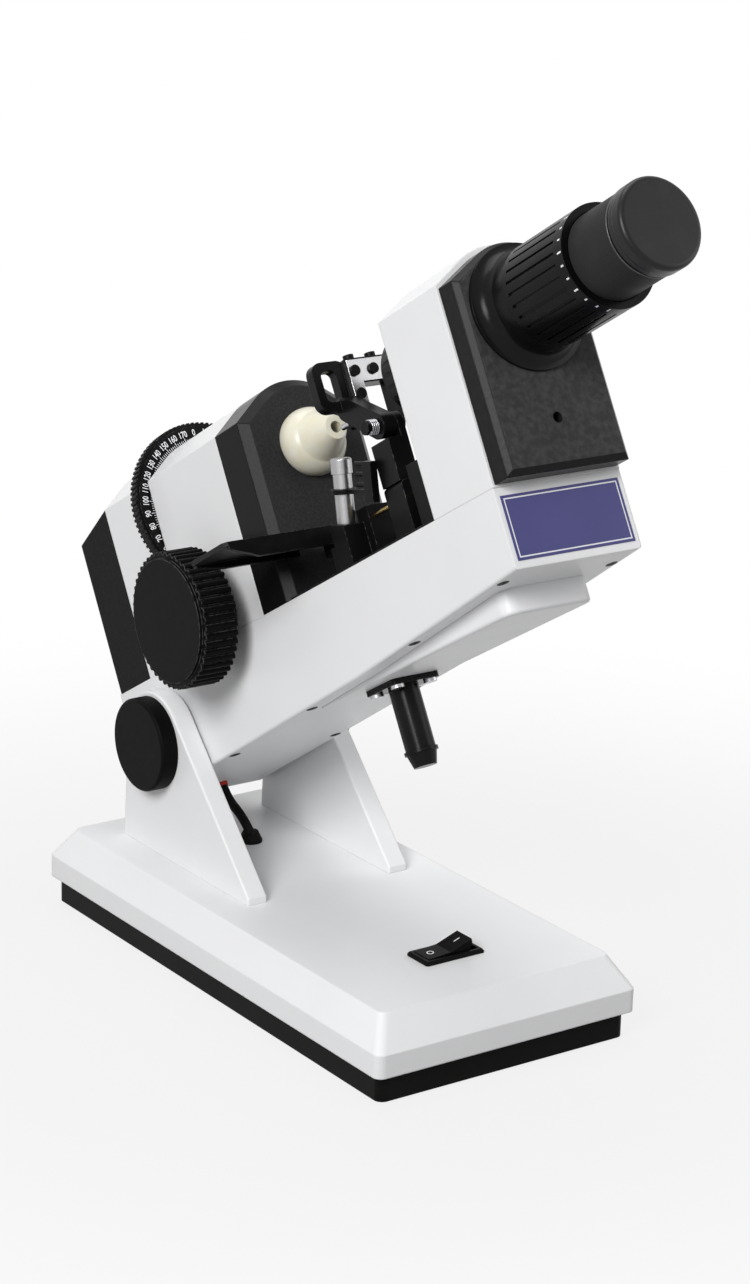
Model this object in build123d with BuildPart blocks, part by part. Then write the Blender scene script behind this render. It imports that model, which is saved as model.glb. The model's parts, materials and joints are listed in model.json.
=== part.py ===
from build123d import *
import math
import os

# Manual lensmeter (focimeter) on a tilting bracket. Millimetres, +Z up.
# The origin is the centre of the footprint on the bench, the eyepiece looks towards -Y,
# and the power knob is on the operator's left, -X.

# ---------------------------------------------------------------- clearances
running = 0.05          # radial, shafts and rods that turn or slide
fitted = 0.02           # radial, pieces of one assembly pushed together
free_gap = 0.3          # between pieces that move past each other
seam = 0.1              # between two moulded housings

# ---------------------------------------------------------------- base
base_length = 270.0
base_width = 135.6
base_height = 37.5
base_wall = 3.0
skirt_bottom = 13.2
skirt_top = 23.5
chamfer_ends = 10.0
chamfer_sides = 8.0
base_corner = 4.0
tray_inset = 3.3
tray_floor = 3.0
foot_radius = 9.0
foot_proud = 1.0
foot_recess = 1.2
foot_inset_x = 22.0
foot_inset_y = 24.0
post_radius = 5.0
post_inset_x = 18.0
post_inset_y = 50.0
screw_radius = 1.5
screw_head = 3.2
screw_head_height = 1.4
screw_length = 11.0
bracket_screw = 2.0
bracket_screw_depth = 8.0
bracket_screw_places = [(-38.0, 20.0), (-38.0, 90.0), (38.0, 20.0), (38.0, 90.0)]
switch_y = -87.5
switch_length = 30.6
switch_width = 15.5
switch_rim = 1.3
switch_bezel = 1.8
switch_depth = 13.0
rocker_length = 23.0
rocker_width = 10.6
rocker_gap = 1.6
rocker_pivot_z = 34.5
rocker_throw = 12.0
rocker_end = 7.6
rocker_middle = 6.0
rocker_skin = 2.5
rocker_hub = 4.0
rocker_pin = 0.9
inlet_x = -45.0
inlet_z = 18.4
inlet_radius = 4.8
inlet_length = 9.0
inlet_neck = 3.6
inlet_bore = 2.4
inlet_nut = 2.5
lead_foot_x = 2.0
lead_foot_y = 69.0
grommet_neck = 4.0
grommet_radius = 5.5
grommet_height = 5.0

# ---------------------------------------------------------------- tilting pivot
pivot_y = 82.0
pivot_z = 90.0
tilt = 30.5
shaft_radius = 5.0
bracket_inner = 33.0
bracket_thickness = 10.0
bracket_radius = 23.5
bracket_foot_front = 1.4
bracket_foot_rear = 107.8
bracket_foot_height = 3.0
bracket_foot_middle = (bracket_foot_front + bracket_foot_rear) / 2
bracket_edge = 1.0
washer_radius = 15.0
washer_thickness = 1.4
tilt_knob_radius = 21.5
tilt_knob_thickness = 8.1
tilt_knob_wall = 2.0
tilt_knob_edge = 1.5

# ---------------------------------------------------------------- head, measured from the pivot
# u runs along the optical axis towards the eyepiece, n stands square to it
axis_height = 97.6
beam_half = 31.4
beam_wall = 3.5
beam_rear = -38.5
beam_front = 286.2
beam_top = 30.5
beam_bottom_front = -2.8
beam_bottom_knee = -13.1
beam_knee = 158.0
beam_bottom_rear = -22.0
beam_edge = 1.5
cover_screw_places = [(40.0, -16.5), (112.0, -13.2), (200.0, -7.8), (270.0, -2.2)]
cover_screw_x = 27.2
cover_screw_radius = 1.9
belly_rear = 106.0
belly_front = 261.0
belly_bottom = -15.6
belly_half = 22.0
belly_corner = 6.0
belly_edge = 1.5
flange_size = 24.0
flange_thickness = 2.5
flange_corner = 2.0
flange_pitch = 17.0
flange_screw = 1.5
flange_screw_reach = 1.0
lead_u = -23.5
lead_n = -19.5
lead_x = 0.0
lead_radius = 2.2
lead_run = 8.0
lead_lean = 45.0
pivot_boss = 12.0
pivot_boss_length = 6.0

housing_half = 31.2
housing_wall = 3.0
housing_rear = -8.0
housing_front = 101.0
housing_shoulder = 112.0
crown_radius = 30.4
bulkhead_rear = 4.0
bulkhead = 4.0
cap_rear = -40.0
cap_drop = 9.0
cap_edge = 3.0
vent_rows = [-17.0, -29.0]
vent_pitch = 5.0
vent_count = 5
vent_length = 8.0
vent_width = 1.6
lamp_house_rear = -25.0
lamp_base_radius = 5.0
lamp_house_radius = 16.0
lamp_house_bore = 14.5
lamp_house_rim = 20.0
lamp_house_wall = 2.0
lamp_base_length = 9.0
bulb_radius = 7.0
bezel_front = 125.0
bezel_bevel = 4.0

tower_rear = 241.5
tower_front = 286.6
tower_shoulder = 114.0
plate_half = 30.2
plate_front = 298.0
plate_foot = 31.6
plate_shoulder = 112.5
plate_crown = 28.1
plate_bevel = 2.5
plate_screw_n = 52.0
plate_screw_hole = 2.2
tower_edge = 2.0
plug_places = [(251.0, 0.0), (277.0, 0.0)]
plug_neck = 2.0
plug_radius = 3.2
plug_height = 1.0

# ---------------------------------------------------------------- optics
nose_radius = 15.0
nose_dome_end = 135.5
nose_cone_radius = 11.0
nose_tip = 148.0
nose_tip_radius = 5.35
nose_bore = 2.6
spigot_radius = 13.0
spigot_rear = 104.0
lens_radius = 11.0
standard_lens_rear = 107.0
standard_lens_thickness = 7.0

dial_radius = 39.5
dial_rear = 29.5
dial_rim = 5.0
dial_teeth = 96
dial_tooth_depth = 0.7
dial_web = 2.5
scale_outer = 37.6
scale_inner = 30.0
scale_thickness = 0.6
slot_gap = 0.9
condenser_radius = 12.0
condenser_bore = 10.0
condenser_lens_rear = 12.0
condenser_lens_thickness = 8.0
lens_bulge = 2.0
condenser_front = 39.0
hub_radius = 18.0
drive_rod_radius = 1.5
drive_rod_orbit = 16.0
drive_rod_front = 94.0

knob_u = 68.5
knob_n = 41.3
knob_radius = 29.2
knob_ribs = 48
knob_rib_radius = 1.35
knob_face = 60.3
knob_thickness = 18.0
knob_hub = 13.0
knob_face_step = 1.6
knob_shaft_radius = 4.0
pinion_radius = 10.0
pinion_teeth = 20
pinion_width = 10.0
tooth_backlash = 0.24
pressure_angle = 20.0
mesh_gap = 0.35
rack_reach = 22.5
rack_half_teeth = 7
target_radius = 9.0
target_thickness = 1.5
carriage_web = 8.0
carriage_bar = 9.0
carriage_corner = 2.0
weld_overlap = 1.0
cell_radius = 20.0
cell_thickness = 9.0
carriage_ring = 24.5
target_rod_radius = 2.0
target_rod_x = 24.0
target_rod_drop = 37.6
target_rod_n = axis_height - target_rod_drop

tube_radius = 14.0
tube_bore = 12.0
objective_lens_rear = 219.0
objective_lens_thickness = 7.0
ring_rear = 218.0
ring_front = 241.0
ring_radius_rear = 19.0
ring_radius_front = 20.75
ring_ribs = 24
ring_groove = 0.8
ring_groove_width = 1.8
ring_lip = 2.0

neck_flare = 26.5
neck_radius = 20.5
neck_front = 313.5
neck_step = 17.25
neck_step_length = 4.8
neck_parallel = 8.0
neck_rim = 1.5
neck_spigot = 16.0
guide_radius = 15.0
guide_front = 345.0
guide_bore = 13.0
diopter_rear = 314.0
diopter_front = 355.5
diopter_radius = 20.7
diopter_ribs = 28
diopter_rib_height = 0.9
diopter_groove = 1.2
diopter_lip = 3.0
diopter_groove_length = 33.0
ring_counterbore = 9.0
barrel_radius = 18.2
barrel_front = 384.6
barrel_rear = 322.0
barrel_engage = 4.5
barrel_mouth = 16.0
eye_lens_radius = 14.6
eye_lens_bulge = 1.0
eye_lens_rear = 370.0
eye_lens_thickness = 6.0
field_lens_rear = 356.0
field_lens_thickness = 4.0
barrel_lip = 5.6
barrel_seat = 2.5
cap_rear_face = 384.8
cap_front_face = 390.5
dust_cap_radius = 18.8
dust_cap_edge = 2.0
cap_plug_length = 4.8

# ---------------------------------------------------------------- lens bench
bed_top = 31.5
bed_thickness = 5.5
bed_inset = 0.6
block_chamfer = 2.0
rear_block = 157.5
rear_block_top = 43.0
rear_block_half = 26.0
rod_plate_rear = 170.0
rod_plate_front = 178.3
rod_plate_top = 55.0
rod_plate_left = -17.0
rod_plate_right = 20.0
rod_seat = 2.0
front_block_rear = 226.0
front_block_top = 57.7
front_block_half = 27.0
brass_rod_radius = 1.0
brass_rod_x = -14.0
brass_rod_low = 34.1
brass_rod_high = 50.2
steel_rod_radius = 1.8
steel_rod_n = 40.5

slider_rear = 198.0
slider_length = 14.0
slider_left = -20.0
slider_right = 6.0
slider_bottom = 32.0
slider_top = 56.0
post_right = -10.0
post_front = 211.5
post_drop = 23.1
post_top = axis_height - post_drop

arm_pivot_u = 206.0
arm_pivot_drop = 16.6
arm_pivot_n = axis_height - arm_pivot_drop
arm_pin_radius = 1.5
arm_root = 5.5
arm_left = -20.0
arm_right = -13.5
arm_pin_head = 2.5
heel_u = 186.2
heel_drop = 2.6
heel_n = axis_height - heel_drop
heel_radius = 5.0
spring_left = -25.0
spring_wire = 0.35
spring_radius = 3.0
spring_pitch = 0.97
spring_turns = 4
fork_rear = 178.5
fork_front = 186.5
fork_half = 14.5
fork_leg_inner = 6.8
fork_rise = 18.9
fork_top = axis_height + fork_rise
fork_window_rise = 7.8
fork_window_top = axis_height + fork_window_rise
fork_foot_drop = 10.1
fork_foot = axis_height - fork_foot_drop
finger_loop_rear = 180.5
finger_loop_left = -30.0
finger_loop_drop = 2.6
finger_loop_foot = axis_height - finger_loop_drop
finger_loop_thickness = 5.0
finger_window_x = -22.25
finger_window_width = 7.5
finger_rim = 4.0
fork_plate_left = -13.2
fork_plate_right = 6.0
fork_plate_drop = 9.6
fork_plate_foot = axis_height - fork_plate_drop
fork_plate_thickness = 1.2
fork_screw = 1.2
fork_screw_head = 2.35
fork_screw_rise = 13.0
fork_screw_pitch = 9.4
leg_screw_rise = 2.9
leg_screw_pitch = 7.0
fork_screw_x = -10.4
fork_screw_places = [
    (fork_screw_x, axis_height + fork_screw_rise),
    (fork_screw_x + fork_screw_pitch, axis_height + fork_screw_rise),
    (fork_screw_x, axis_height + leg_screw_rise),
    (fork_screw_x, axis_height + leg_screw_rise - leg_screw_pitch),
]
top_screw_places = [(182.5, -8.0), (182.5, 3.0)]
pin_circle = 11.0
pin_radius = 1.3
pin_tip = 166.3
pin_seat = 3.0
pin_collar = 2.2
pin_collar_length = 6.0

table_top = 53.5
table_half = 76.0
table_rear = 126.0
table_front = 157.0
table_sheet = 2.0
table_flange = 8.0
table_lip = 5.0
table_flange_start = 60.0
table_hub_rear = 136.0
table_hub_width = 30.0
table_hub = 7.5
notch_mouth = 22.0
notch_throat = 10.0
notch_depth = 13.0
column_u = 143.5
column_radius = 5.0
column_bottom = -44.0
guide_tube_radius = 6.65
guide_tube_bottom = -47.5
guide_cap_bottom = -53.4
guide_cap_taper = 1.6
guide_ring = 1.6

marker_x = -22.0
marker_u = 168.3
marker_n = 50.8
marker_tilt = 18.5
marker_length = 27.5
marker_radius = 4.0
marker_lug = 5.5
marker_spigot = 2.5
marker_spigot_length = 4.0
marker_groove_height = 12.5
marker_groove = 2.2
marker_groove_radius = 3.4
marker_cap = 6.5
marker_cap_radius = 4.6
marker_end_play = 0.1
marker_collar = 5.4
marker_reach = 18.0
marker_head_length = 6.0
marker_head_width = 3.4
marker_head_drop = 3.0
marker_head_height = 17.0
marker_pin = 1.0
marker_pin_length = 7.0
marker_pin_heights = [4.0, 8.4, 12.8]

# ---------------------------------------------------------------- planes and axes
pivot = Vector(0, pivot_y, pivot_z)
along = Vector(0, -math.cos(math.radians(tilt)), math.sin(math.radians(tilt)))
upright = Vector(0, math.sin(math.radians(tilt)), math.cos(math.radians(tilt)))
optical_axis = Axis(pivot + upright * axis_height, along)


def across(u):
    """Plane square to the optical axis at u; its sketches read (x, n)."""
    return Plane(origin=pivot + along * u, x_dir=(1, 0, 0), z_dir=along)


def round_axis(u):
    """Plane square to the optical axis at u, with its origin on that axis."""
    return Plane(origin=pivot + along * u + upright * axis_height, x_dir=(1, 0, 0), z_dir=along)


def beside(x):
    """Plane of the head's side view at x; its sketches read (u, n) and it faces -X."""
    return Plane(origin=pivot + Vector(x, 0, 0), x_dir=along, z_dir=(-1, 0, 0))


def above(n):
    """Plane of the head's top view at n; its sketches read (u, x)."""
    return Plane(origin=pivot + upright * n, x_dir=along, z_dir=upright)


lathe = Plane(origin=pivot + upright * axis_height, x_dir=along, z_dir=(-1, 0, 0))

marker_cos = math.cos(math.radians(marker_tilt))
marker_sin = math.sin(math.radians(marker_tilt))
marker_plane = Plane(
    origin=pivot + Vector(marker_x, 0, 0) + along * marker_u + upright * marker_n,
    x_dir=along * marker_cos - upright * marker_sin,
    z_dir=upright * marker_cos + along * marker_sin,
)
marker_axis = Axis(marker_plane.origin, marker_plane.z_dir)


def turned(*profile):
    """Solid of revolution about the optical axis from (u, radius) corners."""
    with BuildPart() as body:
        with BuildSketch(lathe):
            with BuildLine():
                Polyline(*profile, close=True)
            make_face()
        revolve(axis=optical_axis)
    return body.part


def lens(rear, thickness, radius, bulge):
    """Solid lens about the optical axis, each face standing out by bulge from its edge to its middle."""
    front = rear + thickness
    with BuildPart() as body:
        with BuildSketch(lathe):
            with BuildLine():
                rear_face = ThreePointArc((rear, 0), (rear + bulge / 4, radius / 2), (rear + bulge, radius))
                front_face = ThreePointArc((front, 0), (front - bulge / 4, radius / 2), (front - bulge, radius))
                Line(rear_face @ 1, front_face @ 1)
                Line(rear_face @ 0, front_face @ 0)
            make_face()
        revolve(axis=optical_axis)
    return body.part


def hood(plane, half, foot, shoulder, crown, drop=0):
    """Housing section: straight sides, then shoulders tangent to an arc about the optical axis."""
    with BuildSketch(plane) as section:
        with Locations((0, (foot + shoulder - drop) / 2)):
            Rectangle(2 * half, shoulder - drop - foot)
        with Locations((0, axis_height - drop)):
            Circle(crown)
        make_hull()
    return section.sketch


# ================================================================ base
tray_width = base_width - 2 * tray_inset
tray_length = base_length - 2 * tray_inset
floor_top = foot_proud + tray_floor
post_x = base_width / 2 - post_inset_x
post_y = base_length / 2 - post_inset_y
foot_x = base_width / 2 - foot_inset_x
foot_y = base_length / 2 - foot_inset_y

with BuildPart() as base_tray:
    with BuildSketch(Plane.XY.offset(foot_proud)):
        RectangleRounded(tray_width, tray_length, base_corner)
    extrude(amount=skirt_bottom - foot_proud)
    with BuildSketch(Plane.XY.offset(floor_top)):
        Rectangle(tray_width - 2 * base_wall, tray_length - 2 * base_wall)
    extrude(amount=skirt_bottom, mode=Mode.SUBTRACT)
    with BuildSketch(Plane.XY.offset(foot_proud)):
        with GridLocations(2 * foot_x, 2 * foot_y, 2, 2):
            Circle(foot_radius + running)
    extrude(amount=foot_recess, mode=Mode.SUBTRACT)
    with BuildSketch(Plane.XY.offset(foot_proud)):
        with GridLocations(2 * post_x, 2 * post_y, 2, 2):
            Circle(screw_radius + running)
    extrude(amount=tray_floor, mode=Mode.SUBTRACT)
    with BuildSketch(Plane.XY.offset(foot_proud)):
        with GridLocations(2 * post_x, 2 * post_y, 2, 2):
            Circle(screw_head + running)
    extrude(amount=screw_head_height, mode=Mode.SUBTRACT)

with BuildPart() as rubber_feet:
    with BuildSketch():
        with GridLocations(2 * foot_x, 2 * foot_y, 2, 2):
            Circle(foot_radius)
    extrude(amount=foot_proud + foot_recess)


def base_block(shrink, top):
    """The cover's outer form, drawn in by shrink on every side and reaching up to top."""
    with BuildPart() as block:
        with BuildSketch(Plane.XY.offset(skirt_bottom)):
            RectangleRounded(base_width - 2 * shrink, base_length - 2 * shrink, base_corner)
        extrude(amount=skirt_top - skirt_bottom)
        with BuildSketch(Plane.XY.offset(skirt_top)):
            RectangleRounded(base_width - 2 * shrink, base_length - 2 * shrink, base_corner)
        with BuildSketch(Plane.XY.offset(top)):
            RectangleRounded(
                base_width - 2 * (shrink + chamfer_sides),
                base_length - 2 * (shrink + chamfer_ends),
                base_corner,
            )
        loft()
    return block.part


with BuildPart() as base_cover:
    add(base_block(0, base_height))
    add(base_block(base_wall, base_height - base_wall), mode=Mode.SUBTRACT)
    with BuildSketch(Plane.XY.offset(floor_top)):
        with GridLocations(2 * post_x, 2 * post_y, 2, 2):
            Circle(post_radius)
    extrude(amount=base_height - base_wall - floor_top)
    with BuildSketch(Plane.XY.offset(floor_top)):
        with GridLocations(2 * post_x, 2 * post_y, 2, 2):
            Circle(screw_radius + fitted)
    extrude(amount=screw_length, mode=Mode.SUBTRACT)
    with BuildSketch(Plane.XY.offset(base_height)):
        with Locations((0, switch_y)):
            Rectangle(switch_length - 2 * switch_rim, switch_width - 2 * switch_rim)
        with Locations((lead_foot_x, lead_foot_y)):
            Circle(grommet_neck + fitted)
        with Locations(*bracket_screw_places):
            Circle(bracket_screw + running)
    extrude(amount=-base_wall, mode=Mode.SUBTRACT)
    with BuildSketch(Plane.XZ.offset(-base_length / 2)):
        with Locations((inlet_x, inlet_z)):
            Circle(inlet_neck + fitted)
    extrude(amount=base_wall, mode=Mode.SUBTRACT)

with BuildPart() as base_screws:
    with BuildSketch(Plane.XY.offset(foot_proud)):
        with GridLocations(2 * post_x, 2 * post_y, 2, 2):
            Circle(screw_head)
    extrude(amount=screw_head_height)
    with BuildSketch(Plane.XY.offset(foot_proud + screw_head_height)):
        with GridLocations(2 * post_x, 2 * post_y, 2, 2):
            Circle(screw_radius)
    extrude(amount=screw_length)
    with BuildSketch(Plane.XY.offset(base_height - base_wall)):
        with Locations(*bracket_screw_places):
            Circle(2 * bracket_screw)
    extrude(amount=-bracket_screw)
    with BuildSketch(Plane.XY.offset(base_height - base_wall)):
        with Locations(*bracket_screw_places):
            Circle(bracket_screw)
    extrude(amount=base_wall + bracket_screw_depth)


def bracket(inner_x, outer_x):
    """Upright cheek: a round eye about the pivot, blended into a long foot on the base."""
    with BuildPart() as cheek:
        with BuildSketch(Plane.YZ.offset(inner_x)):
            with Locations((pivot_y, pivot_z)):
                Circle(bracket_radius)
            with Locations((bracket_foot_middle, base_height + bracket_foot_height / 2)):
                Rectangle(bracket_foot_rear - bracket_foot_front, bracket_foot_height)
            make_hull()
        extrude(amount=outer_x - inner_x)
        rims = cheek.edges().filter_by_position(Axis.Z, base_height + 1, 2 * pivot_z)
        fillet(rims.filter_by(Axis.X, reverse=True), bracket_edge)
        with BuildSketch(Plane.YZ.offset(inner_x)):
            with Locations((pivot_y, pivot_z)):
                Circle(shaft_radius + running)
        extrude(amount=outer_x - inner_x, mode=Mode.SUBTRACT)
        with BuildSketch(Plane.XY.offset(base_height)):
            with Locations(*bracket_screw_places):
                Circle(bracket_screw + fitted)
        extrude(amount=bracket_screw_depth, mode=Mode.SUBTRACT)
    return cheek


bracket_outer = bracket_inner + bracket_thickness
bracket_left = bracket(-bracket_inner, -bracket_outer)
bracket_right = bracket(bracket_inner, bracket_outer)

with BuildPart() as friction_washers:
    for side in (-1, 1):
        with BuildSketch(Plane.YZ.offset(side * bracket_inner)):
            with Locations((pivot_y, pivot_z)):
                Circle(washer_radius)
                Circle(shaft_radius + free_gap, mode=Mode.SUBTRACT)
        extrude(amount=-side * washer_thickness)

with BuildPart() as switch_body:
    with BuildSketch(Plane.XY.offset(base_height)):
        with Locations((0, switch_y)):
            RectangleRounded(switch_length, switch_width, switch_rim)
    extrude(amount=switch_bezel)
    with BuildSketch(Plane.XY.offset(base_height)):
        with Locations((0, switch_y)):
            Rectangle(
                switch_length - 2 * switch_rim - 2 * fitted,
                switch_width - 2 * switch_rim - 2 * fitted,
            )
    extrude(amount=-switch_depth)
    chamfer(switch_body.faces().sort_by(Axis.Z)[-1].edges(), switch_bezel / 2)
    with BuildSketch(Plane.XY.offset(base_height + switch_bezel)):
        with Locations((0, switch_y)):
            Rectangle(rocker_length + 2 * rocker_gap, rocker_width + 2 * free_gap)
    extrude(amount=switch_bezel - switch_depth, mode=Mode.SUBTRACT)
    with BuildSketch(Plane.XZ.offset(-switch_y)):
        with Locations((0, rocker_pivot_z)):
            Circle(rocker_pin + running)
    extrude(amount=rocker_width / 2 + rocker_pin, both=True, mode=Mode.SUBTRACT)

rocker_lean = math.radians(rocker_throw)
rocker_plane = Plane(
    origin=(0, switch_y, rocker_pivot_z),
    x_dir=(math.cos(rocker_lean), 0, math.sin(rocker_lean)),
    z_dir=(0, -1, 0),
)
with BuildPart() as switch_rocker:
    with BuildSketch(rocker_plane):
        with BuildLine():
            Polyline(
                (-rocker_length / 2, rocker_end),
                (0, rocker_middle),
                (rocker_length / 2, rocker_end),
                (rocker_length / 2, rocker_end - rocker_skin),
                (rocker_hub, -rocker_hub),
                (-rocker_hub, -rocker_hub),
                (-rocker_length / 2, rocker_end - rocker_skin),
                close=True,
            )
        make_face()
    extrude(amount=rocker_width / 2, both=True)
    with BuildSketch(rocker_plane):
        Circle(rocker_pin)
    extrude(amount=rocker_width / 2 + rocker_pin, both=True)

with BuildPart() as power_inlet:
    with BuildSketch(Plane.XZ.offset(-base_length / 2)):
        with Locations((inlet_x, inlet_z)):
            Circle(inlet_radius)
    extrude(amount=-inlet_length)
    fillet(power_inlet.edges().group_by(Axis.Y)[-1], inlet_radius / 3)
    with BuildSketch(Plane.XZ.offset(-base_length / 2)):
        with Locations((inlet_x, inlet_z)):
            Circle(inlet_neck)
    extrude(amount=base_wall + inlet_nut)
    with BuildSketch(Plane.XZ.offset(base_wall - base_length / 2)):
        with Locations((inlet_x, inlet_z)):
            Circle(inlet_radius)
    extrude(amount=inlet_nut)
    with BuildSketch(Plane.XZ.offset(-base_length / 2 - inlet_length)):
        with Locations((inlet_x, inlet_z)):
            Circle(inlet_bore)
    extrude(amount=inlet_length, mode=Mode.SUBTRACT)

# ================================================================ tilting joint
shaft_half = bracket_outer + free_gap + tilt_knob_thickness - tilt_knob_wall - free_gap

with BuildPart() as tilt_shaft:
    with BuildSketch(Plane.YZ.offset(-shaft_half)):
        with Locations((pivot_y, pivot_z)):
            Circle(shaft_radius)
    extrude(amount=2 * shaft_half)
    chamfer(tilt_shaft.edges(), shaft_radius / 10)


def tilt_knob(side):
    """Plain clamping disc on one end of the tilt shaft."""
    start = side * (bracket_outer + free_gap)
    with BuildPart() as disc:
        with BuildSketch(Plane.YZ.offset(start)):
            with Locations((pivot_y, pivot_z)):
                Circle(tilt_knob_radius)
        extrude(amount=side * tilt_knob_thickness)
        fillet(disc.edges().group_by(Axis.X)[-1 if side > 0 else 0], tilt_knob_edge)
        with BuildSketch(Plane.YZ.offset(start)):
            with Locations((pivot_y, pivot_z)):
                Circle(shaft_radius + running)
        extrude(amount=side * (tilt_knob_thickness - tilt_knob_wall), mode=Mode.SUBTRACT)
    return disc


tilt_knob_left = tilt_knob(-1)
tilt_knob_right = tilt_knob(1)

# ================================================================ beam and its cover
beam_underside = [
    (beam_rear, beam_bottom_rear),
    (beam_knee, beam_bottom_knee),
    (beam_front, beam_bottom_front),
]

with BuildPart() as beam:
    with BuildSketch(beside(0)):
        with BuildLine():
            Polyline(*beam_underside, (beam_front, beam_top), (beam_rear, beam_top), close=True)
        make_face()
    extrude(amount=beam_half, both=True)
    long_edges = beam.edges().filter_by(Axis.X, reverse=True)
    lower_edges = long_edges.filter_by_position(
        Axis(pivot, upright), beam_bottom_rear, beam_bottom_front - beam_edge / 3
    )
    fillet(lower_edges, beam_edge)
    with BuildSketch(beside(0)):
        with BuildLine():
            Polyline(
                (beam_rear + beam_wall, beam_bottom_rear + beam_wall),
                (beam_knee, beam_bottom_knee + beam_wall),
                (beam_front - beam_wall, beam_bottom_front + beam_wall),
                (beam_front - beam_wall, beam_top),
                (beam_rear + beam_wall, beam_top),
                close=True,
            )
        make_face()
    extrude(amount=beam_half - beam_wall, both=True, mode=Mode.SUBTRACT)
    for side in (-1, 1):
        with BuildSketch(beside(side * (beam_half - beam_wall))):
            Circle(pivot_boss)
        extrude(amount=side * pivot_boss_length)
    with BuildSketch(beside(0)):
        Circle(shaft_radius + fitted)
    extrude(amount=beam_half, both=True, mode=Mode.SUBTRACT)
    with BuildSketch(above(beam_bottom_rear - beam_wall)):
        with Locations((column_u, 0)):
            Circle(column_radius + free_gap)
        with Locations((lead_u, lead_x)):
            Circle(lead_radius + running)
    extrude(amount=-beam_bottom_rear + beam_wall, mode=Mode.SUBTRACT)
    for screw_u, screw_n in cover_screw_places:
        with BuildSketch(above(screw_n)):
            with Locations((screw_u, cover_screw_x), (screw_u, -cover_screw_x)):
                Circle(cover_screw_radius)
        extrude(amount=-beam_wall, mode=Mode.SUBTRACT)

with BuildPart() as belly_cover:
    with BuildSketch(above(belly_bottom)):
        with Locations(((belly_rear + belly_front) / 2, 0)):
            RectangleRounded(belly_front - belly_rear, 2 * belly_half, belly_corner)
    extrude(amount=beam_bottom_front - belly_bottom)
    fillet(belly_cover.faces().sort_by(Axis(pivot, upright))[0].edges(), belly_edge)
    with BuildSketch(beside(0)):
        with BuildLine():
            Polyline(*beam_underside, (beam_front, beam_top), (beam_rear, beam_top), close=True)
        make_face()
    extrude(amount=beam_half, both=True, mode=Mode.SUBTRACT)
    with BuildSketch(above(belly_bottom)):
        with Locations((column_u, 0)):
            Circle(column_radius + free_gap)
            with GridLocations(flange_pitch, flange_pitch, 2, 2):
                Circle(flange_screw + fitted)
    extrude(amount=beam_bottom_front - belly_bottom, mode=Mode.SUBTRACT)

# ---------------------------------------------------------------- guide of the table column
column_line = Axis(pivot + along * column_u, upright)
flange_bottom = belly_bottom - flange_thickness

with BuildPart() as guide_tube:
    with BuildSketch(above(belly_bottom)):
        with Locations((column_u, 0)):
            RectangleRounded(flange_size, flange_size, flange_corner)
    extrude(amount=-flange_thickness)
    with BuildSketch(across(column_u)):
        with BuildLine():
            Polyline(
                (0, flange_bottom),
                (guide_tube_radius, flange_bottom),
                (guide_tube_radius, guide_tube_bottom + guide_ring),
                (guide_tube_radius + guide_ring / 2, guide_tube_bottom + guide_ring),
                (guide_tube_radius + guide_ring / 2, guide_tube_bottom),
                (guide_tube_radius, guide_tube_bottom),
                (guide_tube_radius - guide_cap_taper, guide_cap_bottom),
                (0, guide_cap_bottom),
                close=True,
            )
        make_face()
    revolve(axis=column_line)
    with BuildSketch(above(belly_bottom)):
        with Locations((column_u, 0)):
            Circle(column_radius + running)
    extrude(amount=guide_tube_bottom - belly_bottom, mode=Mode.SUBTRACT)
    with BuildSketch(above(belly_bottom)):
        with Locations((column_u, 0)):
            with GridLocations(flange_pitch, flange_pitch, 2, 2):
                Circle(flange_screw + fitted)
    extrude(amount=-flange_thickness, mode=Mode.SUBTRACT)

with BuildPart() as flange_screws:
    with BuildSketch(above(flange_bottom)):
        with Locations((column_u, 0)):
            with GridLocations(flange_pitch, flange_pitch, 2, 2):
                Circle(2 * flange_screw)
    extrude(amount=-flange_screw)
    with BuildSketch(above(flange_bottom)):
        with Locations((column_u, 0)):
            with GridLocations(flange_pitch, flange_pitch, 2, 2):
                Circle(flange_screw)
    extrude(amount=flange_thickness + flange_screw_reach)

# ================================================================ rear housing
inner_half = housing_half - housing_wall
inner_crown = crown_radius - housing_wall
slot_width = dial_rim + scale_thickness + 2 * slot_gap

with BuildPart() as rear_housing:
    extrude(
        hood(across(housing_rear), housing_half, beam_top, housing_shoulder, crown_radius),
        amount=housing_front - housing_rear,
    )
    extrude(
        hood(across(housing_rear), inner_half, beam_top, housing_shoulder - housing_wall / 2, inner_crown),
        amount=bulkhead_rear - housing_rear,
        mode=Mode.SUBTRACT,
    )
    extrude(
        hood(
            across(bulkhead_rear + bulkhead),
            inner_half,
            beam_top,
            housing_shoulder - housing_wall / 2,
            inner_crown,
        ),
        amount=housing_front - bulkhead_rear - bulkhead,
        mode=Mode.SUBTRACT,
    )
    with BuildSketch(round_axis(dial_rear - slot_gap)):
        Circle(dial_radius + slot_gap)
    extrude(amount=slot_width, mode=Mode.SUBTRACT)
    with BuildSketch(round_axis(bulkhead_rear)):
        Circle(condenser_radius + fitted)
    extrude(amount=bulkhead, mode=Mode.SUBTRACT)
    with BuildSketch(across(bulkhead_rear)):
        with Locations((-target_rod_x, target_rod_n), (target_rod_x, target_rod_n)):
            Circle(target_rod_radius + fitted)
    extrude(amount=bulkhead, mode=Mode.SUBTRACT)
    with BuildSketch(beside(housing_half - housing_wall / 3)):
        with Locations((knob_u, knob_n)):
            Circle(knob_shaft_radius + running)
    extrude(amount=2 * housing_half, mode=Mode.SUBTRACT)

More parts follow.
